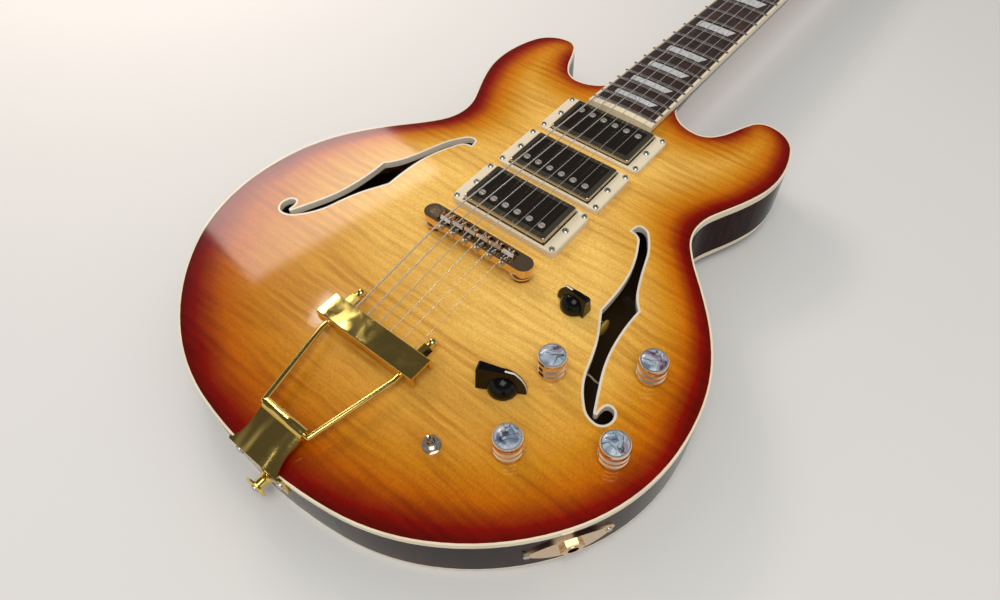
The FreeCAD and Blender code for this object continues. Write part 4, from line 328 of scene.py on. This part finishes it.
def lacquered(finish, colour, roughness=0.32, normal=None, gloss=1.0):
    """Wood or plastic under clear, polished lacquer."""
    return finish.shade(
        colour, roughness, normal=normal, Coat_Weight=gloss, Coat_Roughness=0.075, Coat_IOR=1.3,
        Specular_IOR_Level=0.05)


def burst_depth(finish):
    """Distance in from the body's outline in millimetres, worked out from its plan."""
    x, y, _ = finish.axes()
    across = abs(x)
    oval = 1 - (x / HALF_WIDTH) ** 2 - ((y - LOWER_MIDDLE) / LOWER_REACH) ** 2
    bout = oval * (HALF_WIDTH * OVAL_SHARE)
    reach = WIDTH_TOP - LOWER_MIDDLE
    points = [((along - LOWER_MIDDLE) / reach, half / HALF_WIDTH) for along, half in WIDTHS]
    width = finish.curve((y - LOWER_MIDDLE) / reach, points) * HALF_WIDTH
    side = (width - across) * SIDE_SLANT - SIDE_START
    upper = finish.step(y, LOWER_MIDDLE - BLEND_HALF, LOWER_MIDDLE + BLEND_HALF)
    inside = bout + (side - bout) * upper
    away = finish.vector("LENGTH", finish.point(across - CUTAWAY_X, y - CUTAWAY_Y, 0), output="Value")
    inside = finish.sum("SMOOTH_MIN", inside, away - CUTAWAY_RADIUS, EDGE_ROUNDING)
    return finish.sum("SMOOTH_MIN", inside, HORN_END - y, EDGE_ROUNDING)


def flame(finish, pitch):
    """Stripes across figured maple, the same on both sides of the middle seam."""
    x, y, _ = finish.axes()
    across = abs(x)
    drift = finish.noise(finish.point(across / 60, y / 50, 3), 2.0) * 9
    along = (y + drift) / pitch
    curl = finish.sum("SINE", along * 4.1) * 0.5 + 0.5
    stripes = finish.noise(finish.point(across / 90, along, 0), 2.0, 0.6)
    threads = finish.noise(finish.point(across / 26, along * 2.6, 5), 2.0, 0.5)
    patches = finish.noise(finish.point(across / 45, y / 30, 9), 1.0)
    figure = curl * finish.step(patches, 0.35, 0.65) * 0.5 + finish.step(stripes, 0.4, 0.68) * 0.5
    return figure * 0.8 + finish.step(threads, 0.42, 0.66) * 0.2


def silk(finish):
    """Fine fibres along the wood, from 0 to 1."""
    return finish.noise(finish.stretched(0.55, 2.4, 2), 2.0, 0.7)


class GUITAR_OT_top(Operator):
    """Flamed maple top with its burst from honey to cherry"""
    bl_idname = "guitar.paint_top"
    bl_label = "Paint the top"

    # How much faster the burst changes: everywhere, per half width to the treble side and to the
    # neck, and at the bass waist
    pace, pace_treble, pace_neck, pace_waist = 1.1, 0.16, 0.32, 0.4

    def execute(self, context):
        lacquer = context.scene.guitar_lacquer
        finish = Finish("flamed_maple_burst")
        spray = finish.noise(finish.stretched(26, 26, 26), 2.0) - 0.5
        x, y, _ = finish.axes()
        waist = finish.step(y - x * 0.8, 40, 150) * finish.step(y, 60, 140, 1.0, 0.0)
        slant = x * (self.pace_treble / HALF_WIDTH) + y * (self.pace_neck / HALF_WIDTH)
        depth = burst_depth(finish) * (self.pace + slant + waist * self.pace_waist) + spray * 6
        honey, amber, orange, cherry = [tuple(c) for c in (
            lacquer.honey, lacquer.amber, lacquer.orange, lacquer.cherry)]
        colour = finish.ramp(depth / (lacquer.burst / MM), [
            (0.0, darker(cherry, 0.55)), (0.06, cherry), (0.13, between(cherry, orange, 0.35)),
            (0.21, orange), (0.36, between(orange, amber, 0.75)),
            (0.6, between(amber, honey, 0.45)), (1.0, honey)])
        figure = flame(finish, lacquer.flame_pitch / MM)
        colour = finish.blend(figure * lacquer.flame, colour, paint(178, 138, 86), "MULTIPLY")
        # Painted shade: the top is darkened towards the tail end, where the light falls off
        painted_tail_shade = finish.step(y + x * 0.5, -150, 10, 1.0, 0.0)
        colour = finish.blend(painted_tail_shade * 0.6, colour, paint(214, 186, 130), "MULTIPLY")
        fibres = finish.step(silk(finish), 0.4, 0.62)
        colour = finish.blend(fibres * 0.4, colour, paint(214, 184, 140), "MULTIPLY")
        dress(lacquered(finish, colour, normal=finish.bump(figure, 0.05, 0.3)), "top_plate")
        return {"FINISHED"}


class GUITAR_OT_sides(Operator):
    """Dark rim and cherry back"""
    bl_idname = "guitar.paint_sides"
    bl_label = "Paint the sides and back"

    def execute(self, context):
        lacquer = context.scene.guitar_lacquer
        rim = Finish("dark_rim_lacquer")
        figure = rim.step(rim.noise(rim.stretched(5, 5, 30), 2.0, 0.5, 0.5), 0.4, 0.7)
        colour = rim.blend(figure, tuple(lacquer.side), between(lacquer.side, lacquer.back, 0.3))
        grain = rim.bump(silk(rim), 0.02, 0.3)
        dress(rim.shade(colour, 0.16, normal=grain, Specular_IOR_Level=0.05), "rim")
        back = Finish("cherry_back_lacquer")
        depth = burst_depth(back) + (back.noise(back.stretched(30, 30, 30)) - 0.5) * 8
        colour = back.ramp(depth / (lacquer.burst / MM), [
            (0.0, darker(lacquer.back, 0.18)), (0.2, darker(lacquer.back, 0.4)),
            (0.6, tuple(lacquer.back)),
            (1.0, darker(lacquer.back, 1.35))])
        figure = flame(back, lacquer.flame_pitch / MM * 1.3)
        colour = back.blend(figure * 0.5, colour, paint(150, 120, 110), "MULTIPLY")
        # Painted shade: the back's upward inner face, seen through the f-holes, is made near black
        # instead of bare wood
        facing = back.add("ShaderNodeNewGeometry", output="Normal")
        inner = back.add("ShaderNodeSeparateXYZ", None, {0: facing}, "Z") > 0.5
        colour = back.blend(inner, colour, darker(context.scene.guitar_woods.inner, 0.12))
        dress(lacquered(back, colour, normal=back.bump(silk(back), 0.02, 0.3)), "back_plate")
        return {"FINISHED"}


class GUITAR_OT_bindings(Operator):
    """Cream and white bindings"""
    bl_idname = "guitar.paint_bindings"
    bl_label = "Paint the bindings"

    def execute(self, context):
        trim = context.scene.guitar_trim
        for name, colour, nodes in (
                ("cream_binding", trim.cream, ("body_bindings", "fretboard_binding")),
                ("white_binding", tuple(trim.white), ("fhole_bindings",))):
            finish = Finish(name)
            age = finish.noise(finish.stretched(18, 18, 18), 3.0)
            tone = finish.blend(finish.step(age, 0.4, 0.75) * 0.5, tuple(colour), darker(colour, 0.8))
            scrape = finish.noise(finish.stretched(0.6, 0.6, 12), 2.0)
            dress(lacquered(finish, tone, 0.34, finish.bump(scrape, 0.015, 0.4), 0.8), *nodes)
        return {"FINISHED"}


class GUITAR_OT_inside(Operator):
    """Bare wood of the block and linings, and the controls under the top"""
    bl_idname = "guitar.paint_inside"
    bl_label = "Paint the inside"

    # Height in millimetres above which nuts and bushings stand out of the top
    top_height = 45.0

    def execute(self, context):
        woods = context.scene.guitar_woods
        metals = context.scene.guitar_metals
        finish = Finish("bare_inner_wood")
        rings = finish.noise(finish.stretched(3.5, 70, 3.5), 3.0, 0.6, 0.3)
        colour = finish.blend(
            finish.step(rings, 0.35, 0.7), tuple(woods.inner), darker(woods.inner, 0.62))
        pores = finish.noise(finish.stretched(0.3, 5, 0.3), 2.0)
        dress(
            finish.shade(colour, 0.7, normal=finish.bump(pores, 0.08, 0.6)),
            "centre_block", "linings")
        case = Finish("zinc_control_cases")
        spangle = case.cells(case.stretched(1.6, 1.6, 1.6))
        tone = case.blend(spangle, tuple(metals.zinc), darker(metals.zinc, 0.7))
        _, _, z = case.axes()
        outside = z > self.top_height
        tone = case.blend(outside, tone, tuple(metals.nickel))
        rough = 0.38 + spangle * 0.15 - outside * 0.24
        dress(case.shade(tone, rough, 0.9), "control_pots_and_switches")
        return {"FINISHED"}


class GUITAR_OT_neck(Operator):
    """Stained neck, black face of the head, nut, rod and cover"""
    bl_idname = "guitar.paint_neck"
    bl_label = "Paint the neck"

    def execute(self, context):
        woods = context.scene.guitar_woods
        trim = context.scene.guitar_trim
        lacquer = context.scene.guitar_lacquer
        neck = Finish("stained_neck")
        bands = neck.noise(neck.stretched(5, 120, 5), 3.0, 0.6, 0.2)
        colour = neck.blend(neck.step(bands, 0.3, 0.75), tuple(woods.neck), darker(woods.neck, 0.5))
        pores = neck.step(neck.noise(neck.stretched(0.35, 7, 0.35), 2.0), 0.56, 0.66)
        colour = neck.blend(pores * 0.6, colour, darker(woods.neck, 0.25))
        dress(lacquered(neck, colour, normal=neck.bump(pores, 0.03, 0.5), gloss=0.85), "neck")
        face = Finish("black_head_lacquer")
        haze = face.noise(face.stretched(20, 30, 20), 3.0)
        colour = face.blend(
            face.step(haze, 0.4, 0.8) * 0.4, tuple(lacquer.head), darker(lacquer.head, 2.2))
        dress(lacquered(face, colour, 0.25), "headstock_face")
        cover = Finish("black_cover_plastic")
        rub = cover.noise(cover.stretched(0.7, 9, 2), 3.0)
        colour = cover.blend(rub * 0.3, tuple(trim.black), darker(trim.black, 2.5))
        dress(cover.shade(colour, 0.2 + rub * 0.12, Coat_Weight=0.4), "truss_rod_cover")
        bone = Finish("bone_nut")
        fibres = bone.noise(bone.stretched(9, 0.6, 0.6), 3.0)
        colour = bone.blend(
            bone.step(fibres, 0.4, 0.7) * 0.5, tuple(trim.bone), darker(trim.bone, 0.78))
        dress(bone.shade(colour, 0.3, normal=bone.bump(fibres, 0.02, 0.5), Coat_Weight=0.3), "nut")
        return {"FINISHED"}


class GUITAR_OT_board(Operator):
    """Fingerboard, pearl blocks and frets"""
    bl_idname = "guitar.paint_board"
    bl_label = "Paint the fingerboard"

    def execute(self, context):
        woods = context.scene.guitar_woods
        trim = context.scene.guitar_trim
        metals = context.scene.guitar_metals
        board = Finish("dark_fingerboard_wood")
        streaks = board.noise(board.stretched(2.4, 90, 6), 3.0, 0.6, 0.15)
        colour = board.blend(
            board.step(streaks, 0.35, 0.7), tuple(woods.board), darker(woods.board, 0.35))
        red = board.noise(board.stretched(7, 60, 7), 2.0)
        colour = board.blend(board.step(red, 0.5, 0.75) * 0.5, colour, paint(92, 44, 30))
        pores = board.step(board.noise(board.stretched(0.22, 5, 0.4), 2.0), 0.58, 0.68)
        colour = board.blend(pores * 0.7, colour, paint(18, 9, 8))
        grip = board.noise(board.stretched(14, 20, 14), 2.0)
        open_pores = board.bump(1 - pores, 0.06, 0.6)
        dress(board.shade(colour, 0.34 + grip * 0.22, normal=open_pores), "fretboard")
        pearl = Finish("pearl_blocks")
        x, y, _ = pearl.axes()
        layers = pearl.noise(pearl.point(x / 5, y / 7, 1), 3.0, 0.55, 1.6)
        cloud = pearl.noise(pearl.point(x / 2.2, y / 9, 7), 2.0, 0.5, 2.2)
        colour = pearl.ramp(layers, [
            (0.3, darker(trim.pearl, 0.5)), (0.45, tuple(trim.pearl)), (0.56, paint(196, 204, 206)),
            (0.68, paint(222, 208, 196)), (0.8, darker(trim.pearl, 0.65))])
        colour = pearl.blend(pearl.step(cloud, 0.45, 0.7) * 0.6, colour, paint(176, 186, 184))
        dress(lacquered(pearl, colour, 0.22), "inlays")
        fret = Finish("nickel_frets")
        lines = fret.noise(fret.stretched(8, 0.12, 0.12), 2.0)
        colour = fret.blend(lines, tuple(metals.nickel), darker(metals.nickel, 0.75))
        dress(fret.shade(colour, 0.16 + lines * 0.14, 1.0, fret.bump(lines, 0.004, 0.5)), "frets")
        return {"FINISHED"}


def plated(name, colour, roughness=0.1, wear=0.35):
    """Polished plating with faint smears and hairlines."""
    finish = Finish(name)
    smear = finish.step(finish.noise(finish.stretched(11, 11, 11), 3.0, 0.6, 0.4), 0.35, 0.75)
    tone = finish.blend(smear * wear, tuple(colour), darker(colour, 0.72))
    hair = finish.noise(finish.stretched(6, 0.18, 0.18), 2.0)
    return finish, tone, roughness + smear * 0.09, finish.bump(hair, 0.002, 0.35)


def gold_plate(name, colour, roughness=0.1, wave=0.0):
    """Plating, with the slow waves of bent sheet where a depth in millimetres is given."""
    finish, tone, gloss, relief = plated(name, colour, roughness)
    if wave:
        x, _, _ = finish.axes()
        swell = finish.noise(finish.stretched(14, 34, 20), 1.0) + finish.sum("COSINE", x / 6.5) * 0.5
        relief = finish.bump(swell, wave, 1.0)
    return finish.shade(tone, gloss, 1.0, relief)


class GUITAR_OT_hardware(Operator):
    """Gold and mirror metal of the tailpiece, bridge, tuners, jack and strap buttons"""
    bl_idname = "guitar.paint_hardware"
    bl_label = "Plate the hardware"

    def execute(self, context):
        metals = context.scene.guitar_metals
        gold = gold_plate("gold_plating", metals.gold)
        dress(
            gold, "tailpiece_rod", "strap_buttons", "tuner_housings",
            *["tuner_post_%d" % n for n in range(1, 7)])
        dress(gold_plate("rolled_gold_sheet", metals.gold, 0.1, wave=2.4), "tailpiece_hinge_plate")
        dress(gold_plate("rose_gold_plating", metals.rose, 0.1), "bridge_posts", "output_jack")
        dress(
            gold_plate("soft_gold_buttons", metals.gold, 0.16),
            *["tuner_button_%d" % n for n in range(1, 7)])
        dress(gold_plate("mirror_gold", metals.gold, 0.05, wave=0.2), "tailpiece_crossbar")
        dress(gold_plate("mirror_rose_gold", metals.rose, 0.07), "bridge_body")
        dress(gold_plate("saddle_metal", metals.nickel, 0.14), *["saddle_%d" % n for n in range(1, 7)])
        steel = Finish("screw_steel")
        grain = steel.noise(steel.stretched(0.5, 0.5, 0.5), 3.0)
        tone = steel.blend(grain, tuple(metals.steel), darker(metals.steel, 0.55))
        dress(
            steel.shade(tone, 0.24 + grain * 0.15, 1.0),
            "intonation_screws", "mounting_screws", "truss_rod")
        dress(gold_plate("nickel_lever", metals.nickel, 0.1), "toggle_lever")
        return {"FINISHED"}


class GUITAR_OT_strings(Operator):
    """Wound and plain strings"""
    bl_idname = "guitar.paint_strings"
    bl_label = "Wind the strings"

    def execute(self, context):
        metals = context.scene.guitar_metals
        finish = Finish("steel_strings")
        x, y, _ = finish.axes()
        wound = x < 0.0
        turns = finish.sum("SINE", y * (math.tau / 0.32)) * 0.5 + 0.5
        tarnish = finish.noise(finish.stretched(2, 30, 2), 3.0)
        colour = finish.blend(tarnish * 0.4, tuple(metals.steel), darker(metals.steel, 0.7))
        # Painted shade: wound strings are darker in the grooves between their turns
        colour = finish.blend(wound * (1 - turns) * 0.5, colour, paint(130, 118, 102))
        dress(finish.shade(
            colour, 0.26 + wound * 0.1, 0.8, finish.bump(wound * turns, 0.06, 0.8)), "strings")
        return {"FINISHED"}


class GUITAR_OT_pickups(Operator):
    """Mirror covers with a painted highlight on their edges, screws and cream rings"""
    bl_idname = "guitar.paint_pickups"
    bl_label = "Finish the pickups"

    # Millimetres: width of the painted highlight along a cover's edge, and depth of a pole screw's head
    edge_width = 4.4
    head_depth = 3.0

    def execute(self, context):
        metals = context.scene.guitar_metals
        trim = context.scene.guitar_trim
        for place in ("bridge", "middle", "neck"):
            low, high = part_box("pickup_cover_" + place)
            finish, tone, gloss, relief = plated("pickup_cover_metal_" + place, metals.cover, 0.07, 0.5)
            x, y, _ = finish.axes()
            middle, half = (low.y + high.y) / 2 / MM, (high.y - low.y) / 2 / MM
            # Painted highlight: the band along the cover's edge takes the lighter frame colour
            edge_x = abs(x) > (high.x / MM - self.edge_width)
            edge_y = abs(y - middle) > (half - self.edge_width)
            rim = finish.sum("MAXIMUM", edge_x, edge_y)
            tone = finish.blend(rim * 0.85, tone, tuple(metals.frame))
            dress(finish.shade(tone, gloss, 1.0, relief), "pickup_cover_" + place)
            core = Finish("pickup_core_" + place)
            _, _, z = core.axes()
            head = z > (high.z / MM - self.head_depth)
            dust = core.noise(core.stretched(1.5, 1.5, 1.5), 3.0)
            colour = core.blend(dust * 0.4, tuple(trim.black), darker(metals.steel, 0.2))
            colour = core.blend(head, colour, darker(metals.steel, 0.62))
            dress(
                core.shade(colour, 0.5 - head * 0.1 + dust * 0.1, head * 0.55),
                "pickup_core_" + place)
        ring = Finish("cream_ring_plastic")
        age = ring.noise(ring.stretched(15, 15, 15), 3.0)
        colour = ring.blend(ring.step(age, 0.4, 0.8) * 0.35, tuple(trim.cream), darker(trim.cream, 0.8))
        grain = ring.noise(ring.stretched(0.4, 0.4, 0.4), 2.0)
        dress(ring.shade(
            colour, 0.26 + grain * 0.08, normal=ring.bump(grain, 0.006, 0.4), Coat_Weight=0.35,
            Coat_Roughness=0.1), "pickup_rings")
        return {"FINISHED"}


def shell_pattern(finish, x, y, seed):
    """Abalone: bands of blue, violet, grey and teal that fold round dark lines."""
    layers = finish.noise(finish.point(x / 21, y / 21, seed), 2.0, 0.5, 1.8)
    veins = finish.noise(finish.point(x / 17, y / 17, seed + 5), 1.0, 0.5, 2.2)
    colour = finish.ramp(layers, [
        (0.3, paint(52, 50, 66)), (0.39, paint(118, 130, 152)), (0.45, paint(176, 190, 200)),
        (0.5, paint(120, 150, 164)), (0.55, paint(196, 184, 194)), (0.6, paint(112, 146, 150)),
        (0.66, paint(164, 138, 160)), (0.76, paint(60, 58, 70))])
    line = finish.step(abs(veins - 0.5), 0.0, 0.035, 1.0, 0.0)
    return finish.blend(line * 0.9, colour, paint(24, 24, 32))


class GUITAR_OT_controls(Operator):
    """Gold knobs with shell tops and black selectors with a line"""
    bl_idname = "guitar.paint_controls"
    bl_label = "Finish the controls"

    # Degrees from the treble side to each selector's nose
    selector_turns = (177.0, 21.0)
    # Millimetres: inlay of a round knob, white line of a selector and height where it begins
    inlay_radius, inlay_depth = 7.22, 2.35
    line_half, line_start, line_height = 0.6, 1.5, 15.0

    def execute(self, context):
        metals = context.scene.guitar_metals
        trim = context.scene.guitar_trim
        for number in range(1, 5):
            name = "knob_%d" % number
            low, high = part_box(name)
            middle = (low + high) / 2 / MM
            finish, tone, gloss, relief = plated("rose_gold_shell_" + name, metals.rose, 0.1)
            x, y, z = finish.axes()
            away = finish.vector("LENGTH", finish.point(x - middle.x, y - middle.y, 0), output="Value")
            top = z > high.z / MM - self.inlay_depth
            shell = (away < self.inlay_radius) * top
            # Painted highlight: the metal ring round the inlay is made near white and rougher
            painted_rim_highlight = (away > self.inlay_radius) * top
            colour = finish.blend(painted_rim_highlight * 0.7, tone, paint(250, 244, 236))
            colour = finish.blend(shell, colour, shell_pattern(finish, x, y, number * 11.0))
            rough = gloss + shell * 0.06 + painted_rim_highlight * 0.22
            dress(finish.shade(
                colour, rough, 1 - shell, relief, Coat_Weight=shell * 0.6, Coat_Roughness=0.03,
                Coat_IOR=1.35), name)
        for number, turn in enumerate(self.selector_turns, 1):
            name = "selector_knob_%d" % number
            low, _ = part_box(name)
            middle = self.hub(name) / MM
            finish = Finish("black_pointer_%d" % number)
            x, y, z = finish.axes()
            spin = math.radians(turn)
            along = (x - middle.x) * math.cos(spin) + (y - middle.y) * math.sin(spin)
            aside = (y - middle.y) * math.cos(spin) - (x - middle.x) * math.sin(spin)
            line = (abs(aside) < self.line_half) * (along > self.line_start)
            line = line * (z > low.z / MM + self.line_height)
            rub = finish.noise(finish.stretched(3, 3, 3), 3.0)
            colour = finish.blend(rub * 0.3, tuple(trim.black), darker(trim.black, 2.5))
            colour = finish.blend(line, colour, tuple(trim.white))
            dress(finish.shade(
                colour, 0.16 + rub * 0.1, Coat_Weight=0.35, Coat_Roughness=0.04, Coat_IOR=1.35,
                Specular_IOR_Level=0.12), name)
        return {"FINISHED"}

    def hub(self, name):
        """Centre of a selector's shaft, which its joint turns about."""
        for joint in frame["joints"]:
            if joint["child"] == name.replace("_knob", ""):
                return Vector(joint["pos_m"])
        raise RuntimeError("no joint turns " + name)


# Inner wiring seen through the treble f-hole

def wire_piece(name, points, radius, material):
    """Round wire through points in millimetres, as a bevelled curve."""
    line = bpy.data.curves.new(name, "CURVE")
    line.dimensions = "3D"
    line.bevel_depth = radius
    line.bevel_resolution = 3
    line.resolution_u = 10
    spline = line.splines.new("BEZIER")
    spline.bezier_points.add(len(points) - 1)
    for knot, place in zip(spline.bezier_points, points):
        knot.co = Vector(place) * MM
        knot.handle_left_type = "AUTO"
        knot.handle_right_type = "AUTO"
    line.use_fill_caps = True
    line.materials.append(material)
    piece = bpy.data.objects.new(name, line)
    bpy.context.collection.objects.link(piece)
    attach(piece, STATIC)
    return piece


class GUITAR_OT_wiring(Operator):
    """Wires and tone capacitor between the controls"""
    bl_idname = "guitar.make_wiring"
    bl_label = "Make the wiring"

    # Runs in millimetres from case to case of the controls
    outer_run = (
        (134, -17, 36), (129, -21, 33), (124, -26, 32), (117, -29, 32), (109, -28, 32),
        (103, -31, 33), (99, -38.5, 36))
    rear_run = (
        (148.2, -76.5, 36), (140, -85, 32), (130, -91, 31), (120, -98, 33), (114.5, -100.5, 36))
    front_lead = ((96.5, 9, 34), (92.5, 8, 35), (88.2, 6.5, 36))
    rear_lead = ((96.5, 3, 34), (93, 2, 35), (89.6, 1.5, 36))
    capacitor_middle = (97.5, 6.0, 33.0)
    capacitor_radius, capacitor_flatness = 6.0, 0.34

    def execute(self, context):
        trim = context.scene.guitar_trim
        sleeve = Finish("wire_sleeve")
        weave = sleeve.noise(sleeve.stretched(0.4, 0.4, 0.4), 2.0)
        tone = sleeve.blend(weave, paint(206, 196, 170), paint(150, 136, 108))
        cloth = sleeve.shade(tone, 0.75, normal=sleeve.bump(weave, 0.05, 0.6))
        radius = trim.wire / 2
        wire_piece("wire_outer_pots", self.outer_run, radius, cloth)
        wire_piece("wire_rear_pots", self.rear_run, radius, cloth)
        case = Finish("capacitor_dip")
        haze = case.noise(case.stretched(2, 2, 2), 2.0)
        tone = case.blend(haze, paint(196, 162, 66), paint(158, 122, 44))
        self.capacitor(case.shade(tone, 0.3, Coat_Weight=0.6))
        tin = Finish("tinned_leads")
        grain = tin.noise(tin.stretched(0.5, 0.5, 0.5), 2.0)
        leads = tin.shade(tin.blend(grain, paint(190, 188, 182), paint(132, 130, 126)), 0.35, 1.0)
        wire_piece("capacitor_lead_front", self.front_lead, radius / 2, leads)
        wire_piece("capacitor_lead_rear", self.rear_lead, radius / 2, leads)
        return {"FINISHED"}

    def capacitor(self, material):
        """Dipped disc with a rounded edge, held by its leads beside the small selector's switch."""
        rows, columns = 14, 28
        ball = [(0, 0, 1)]
        for row in range(1, rows):
            tilt = math.pi * row / rows
            for column in range(columns):
                turn = math.tau * column / columns
                ball.append((
                    math.sin(tilt) * math.cos(turn), math.sin(tilt) * math.sin(turn),
                    math.cos(tilt)))
        ball.append((0, 0, -1))
        last, faces = len(ball) - 1, []
        for column in range(columns):
            near, far = 1 + column, 1 + (column + 1) % columns
            faces.append((0, near, far))
            for row in range(rows - 2):
                upper, lower = row * columns, (row + 1) * columns
                faces.append((near + upper, near + lower, far + lower, far + upper))
            end = (rows - 2) * columns
            faces.append((last, far + end, near + end))
        spread = Vector((self.capacitor_flatness, 1, 1)) * self.capacitor_radius
        middle = Vector(self.capacitor_middle)
        mesh = bpy.data.meshes.new("tone_capacitor")
        mesh.from_pydata([(Vector(point) * spread + middle) * MM for point in ball], [], faces)
        mesh.shade_smooth()
        mesh.materials.append(material)
        piece = bpy.data.objects.new("tone_capacitor", mesh)
        bpy.context.collection.objects.link(piece)
        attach(piece, STATIC)


# Studio

# Place along the guitar, in metres, that lies between its two rests
BALANCE_Y = 0.1
# Half the width of the floor in metres
FLOOR_REACH = 9


def resting_line():
    """Slope and height, at y = 0, of the line under the back and the tuners."""
    points = []
    for name in ("back_plate", "body_bindings", "rim", "neck", "tuner_housings", "tuner_button_1"):
        points += [(v.co.y, v.co.z) for v in frame["nodes"][name].data.vertices]
    hull = []
    for point in sorted(set(points)):
        while len(hull) > 1 and turns_right(hull[-2], hull[-1], point):
            hull.pop()
        hull.append(point)
    for first, second in zip(hull, hull[1:]):
        if first[0] <= BALANCE_Y <= second[0]:
            slope = (second[1] - first[1]) / (second[0] - first[0])
            return slope, first[1] - slope * first[0]
    raise RuntimeError("nothing holds the guitar up")


def turns_right(a, b, c):
    return (b[0] - a[0]) * (c[1] - a[1]) - (b[1] - a[1]) * (c[0] - a[0]) <= 0


def lamp(name, place, turn, spread, power, colour):
    """Level panel that shines down, turned about the upright."""
    light = bpy.data.lights.new(name, "AREA")
    light.shape = "RECTANGLE"
    light.size, light.size_y = spread
    light.energy = power
    light.color = colour
    thing = bpy.data.objects.new(name, light)
    thing.location = place
    thing.rotation_euler = (0.0, 0.0, turn)
    bpy.context.collection.objects.link(thing)


class GUITAR_OT_stage(Operator):
    """Floor, lamps, sky and camera"""
    bl_idname = "guitar.make_stage"
    bl_label = "Set the stage"

    camera_place = (0.213916, -0.227385, 0.401720)
    camera_right = (0.77636677, 0.62977719, -0.02520578)
    camera_down = (0.49119042, -0.62961319, -0.60192957)
    camera_look = (-0.3949514, 0.45493728, -0.79815128)
    camera_lens = 25.26
    # Each lamp's place in metres, turn, width and length, and colour
    lamps = {
        "softbox": ((-0.825, 0.345, 0.70), math.radians(-10), (0.36, 0.46), (1.0, 0.84, 0.76)),
        "spark": ((-0.51, 0.13, 0.70), 0.3, (0.06, 0.07), (1.0, 0.97, 0.9)),
        "overhead": ((0.6, -0.65, 1.9), 0.0, (1.2, 1.2), (1.0, 0.98, 0.95)),
    }

    def execute(self, context):
        studio = context.scene.guitar_studio
        self.floor(studio)
        self.sky(context, studio)
        for name, (place, turn, spread, colour) in self.lamps.items():
            lamp(name, place, turn, spread, getattr(studio, name), colour)
        self.camera(context)
        return {"FINISHED"}

    def floor(self, studio):
        slope, height = resting_line()
        shape = bmesh.new()
        for x, y in ((-1, -1), (1, -1), (1, 1), (-1, 1)):
            across, along = x * FLOOR_REACH, y * FLOOR_REACH
            shape.verts.new((across, along, height + slope * along))
        shape.faces.new(shape.verts)
        mesh = bpy.data.meshes.new("floor")
        shape.to_mesh(mesh)
        shape.free()
        finish = Finish("pale_floor")
        mottle = finish.noise(finish.stretched(120, 120, 120), 4.0)
        tone = finish.blend(mottle * 0.25, tuple(studio.floor), darker(studio.floor, 0.94))
        mesh.materials.append(finish.shade(tone, 0.75, Specular_IOR_Level=0.2))
        thing = bpy.data.objects.new("floor", mesh)
        bpy.context.collection.objects.link(thing)

    def sky(self, context, studio):
        """White near the horizon and dimmer overhead, so that metal has something to show."""
        world = bpy.data.worlds.new("studio_sky")
        context.scene.world = world
        shader = Shader(world)
        direction = shader.add("ShaderNodeTexCoord", output="Generated")
        height = shader.add("ShaderNodeSeparateXYZ", None, {0: direction}, "Z")
        reflected = shader.step(height, 0.12, 0.6, 1.0, studio.zenith)
        camera, glossy, through = [
            shader.add("ShaderNodeLightPath", output="Is %s Ray" % kind)
            for kind in ("Camera", "Glossy", "Transmission")]
        seen = shader.sum("ADD", camera + glossy, through, clamp=True)
        level = shader.add("ShaderNodeMix", None, {0: seen, 2: studio.sky, 3: reflected})
        glow = shader.add("ShaderNodeBackground", None, {"Strength": level})
        shader.add("ShaderNodeOutputWorld", None, {"Surface": glow})

    def camera(self, context):
        lens = bpy.data.cameras.new("photo_camera")
        lens.sensor_width = 36.0
        lens.lens = self.camera_lens
        lens.clip_start = 0.01
        view = bpy.data.objects.new("photo_camera", lens)
        right, down, look = [
            Vector(axis) for axis in (self.camera_right, self.camera_down, self.camera_look)]
        turn = Matrix((right, -down, -look)).transposed().to_4x4()
        view.matrix_world = Matrix.Translation(self.camera_place) @ turn
        context.collection.objects.link(view)
        context.scene.camera = view
        context.scene.view_settings.view_transform = "Standard"


class GUITAR_PT_workshop(Panel):
    """Steps that dress the guitar"""
    bl_idname = "GUITAR_PT_workshop"
    bl_label = "Guitar"
    bl_space_type = "VIEW_3D"
    bl_region_type = "UI"
    bl_category = "Guitar"

    def draw(self, context):
        for name, _ in GROUPS:
            group = getattr(context.scene, name)
            box = self.layout.box()
            box.label(text=name.replace("_", " ").capitalize())
            for prop in group.bl_rna.properties:
                if prop.identifier not in ("rna_type", "name"):
                    box.prop(group, prop.identifier)
        for step in STEPS:
            self.layout.operator(step.bl_idname)


GROUPS = (
    ("guitar_lacquer", GuitarLacquer), ("guitar_woods", GuitarWoods), ("guitar_metals", GuitarMetals),
    ("guitar_trim", GuitarTrim), ("guitar_studio", GuitarStudio))
STEPS = (
    GUITAR_OT_top, GUITAR_OT_sides, GUITAR_OT_bindings, GUITAR_OT_inside, GUITAR_OT_neck,
    GUITAR_OT_board, GUITAR_OT_hardware, GUITAR_OT_strings, GUITAR_OT_pickups, GUITAR_OT_controls,
    GUITAR_OT_wiring, GUITAR_OT_stage)


def register():
    for name, group in GROUPS:
        bpy.utils.register_class(group)
        setattr(bpy.types.Scene, name, PointerProperty(type=group))
    for step in STEPS:
        bpy.utils.register_class(step)
    bpy.utils.register_class(GUITAR_PT_workshop)


def unregister():
    bpy.utils.unregister_class(GUITAR_PT_workshop)
    for step in reversed(STEPS):
        bpy.utils.unregister_class(step)
    for name, group in reversed(GROUPS):
        delattr(bpy.types.Scene, name)
        bpy.utils.unregister_class(group)


def main():
    register()
    for step in STEPS:
        family, action = step.bl_idname.split(".")
        getattr(getattr(bpy.ops, family), action)()


if __name__ == "__main__":
    main()
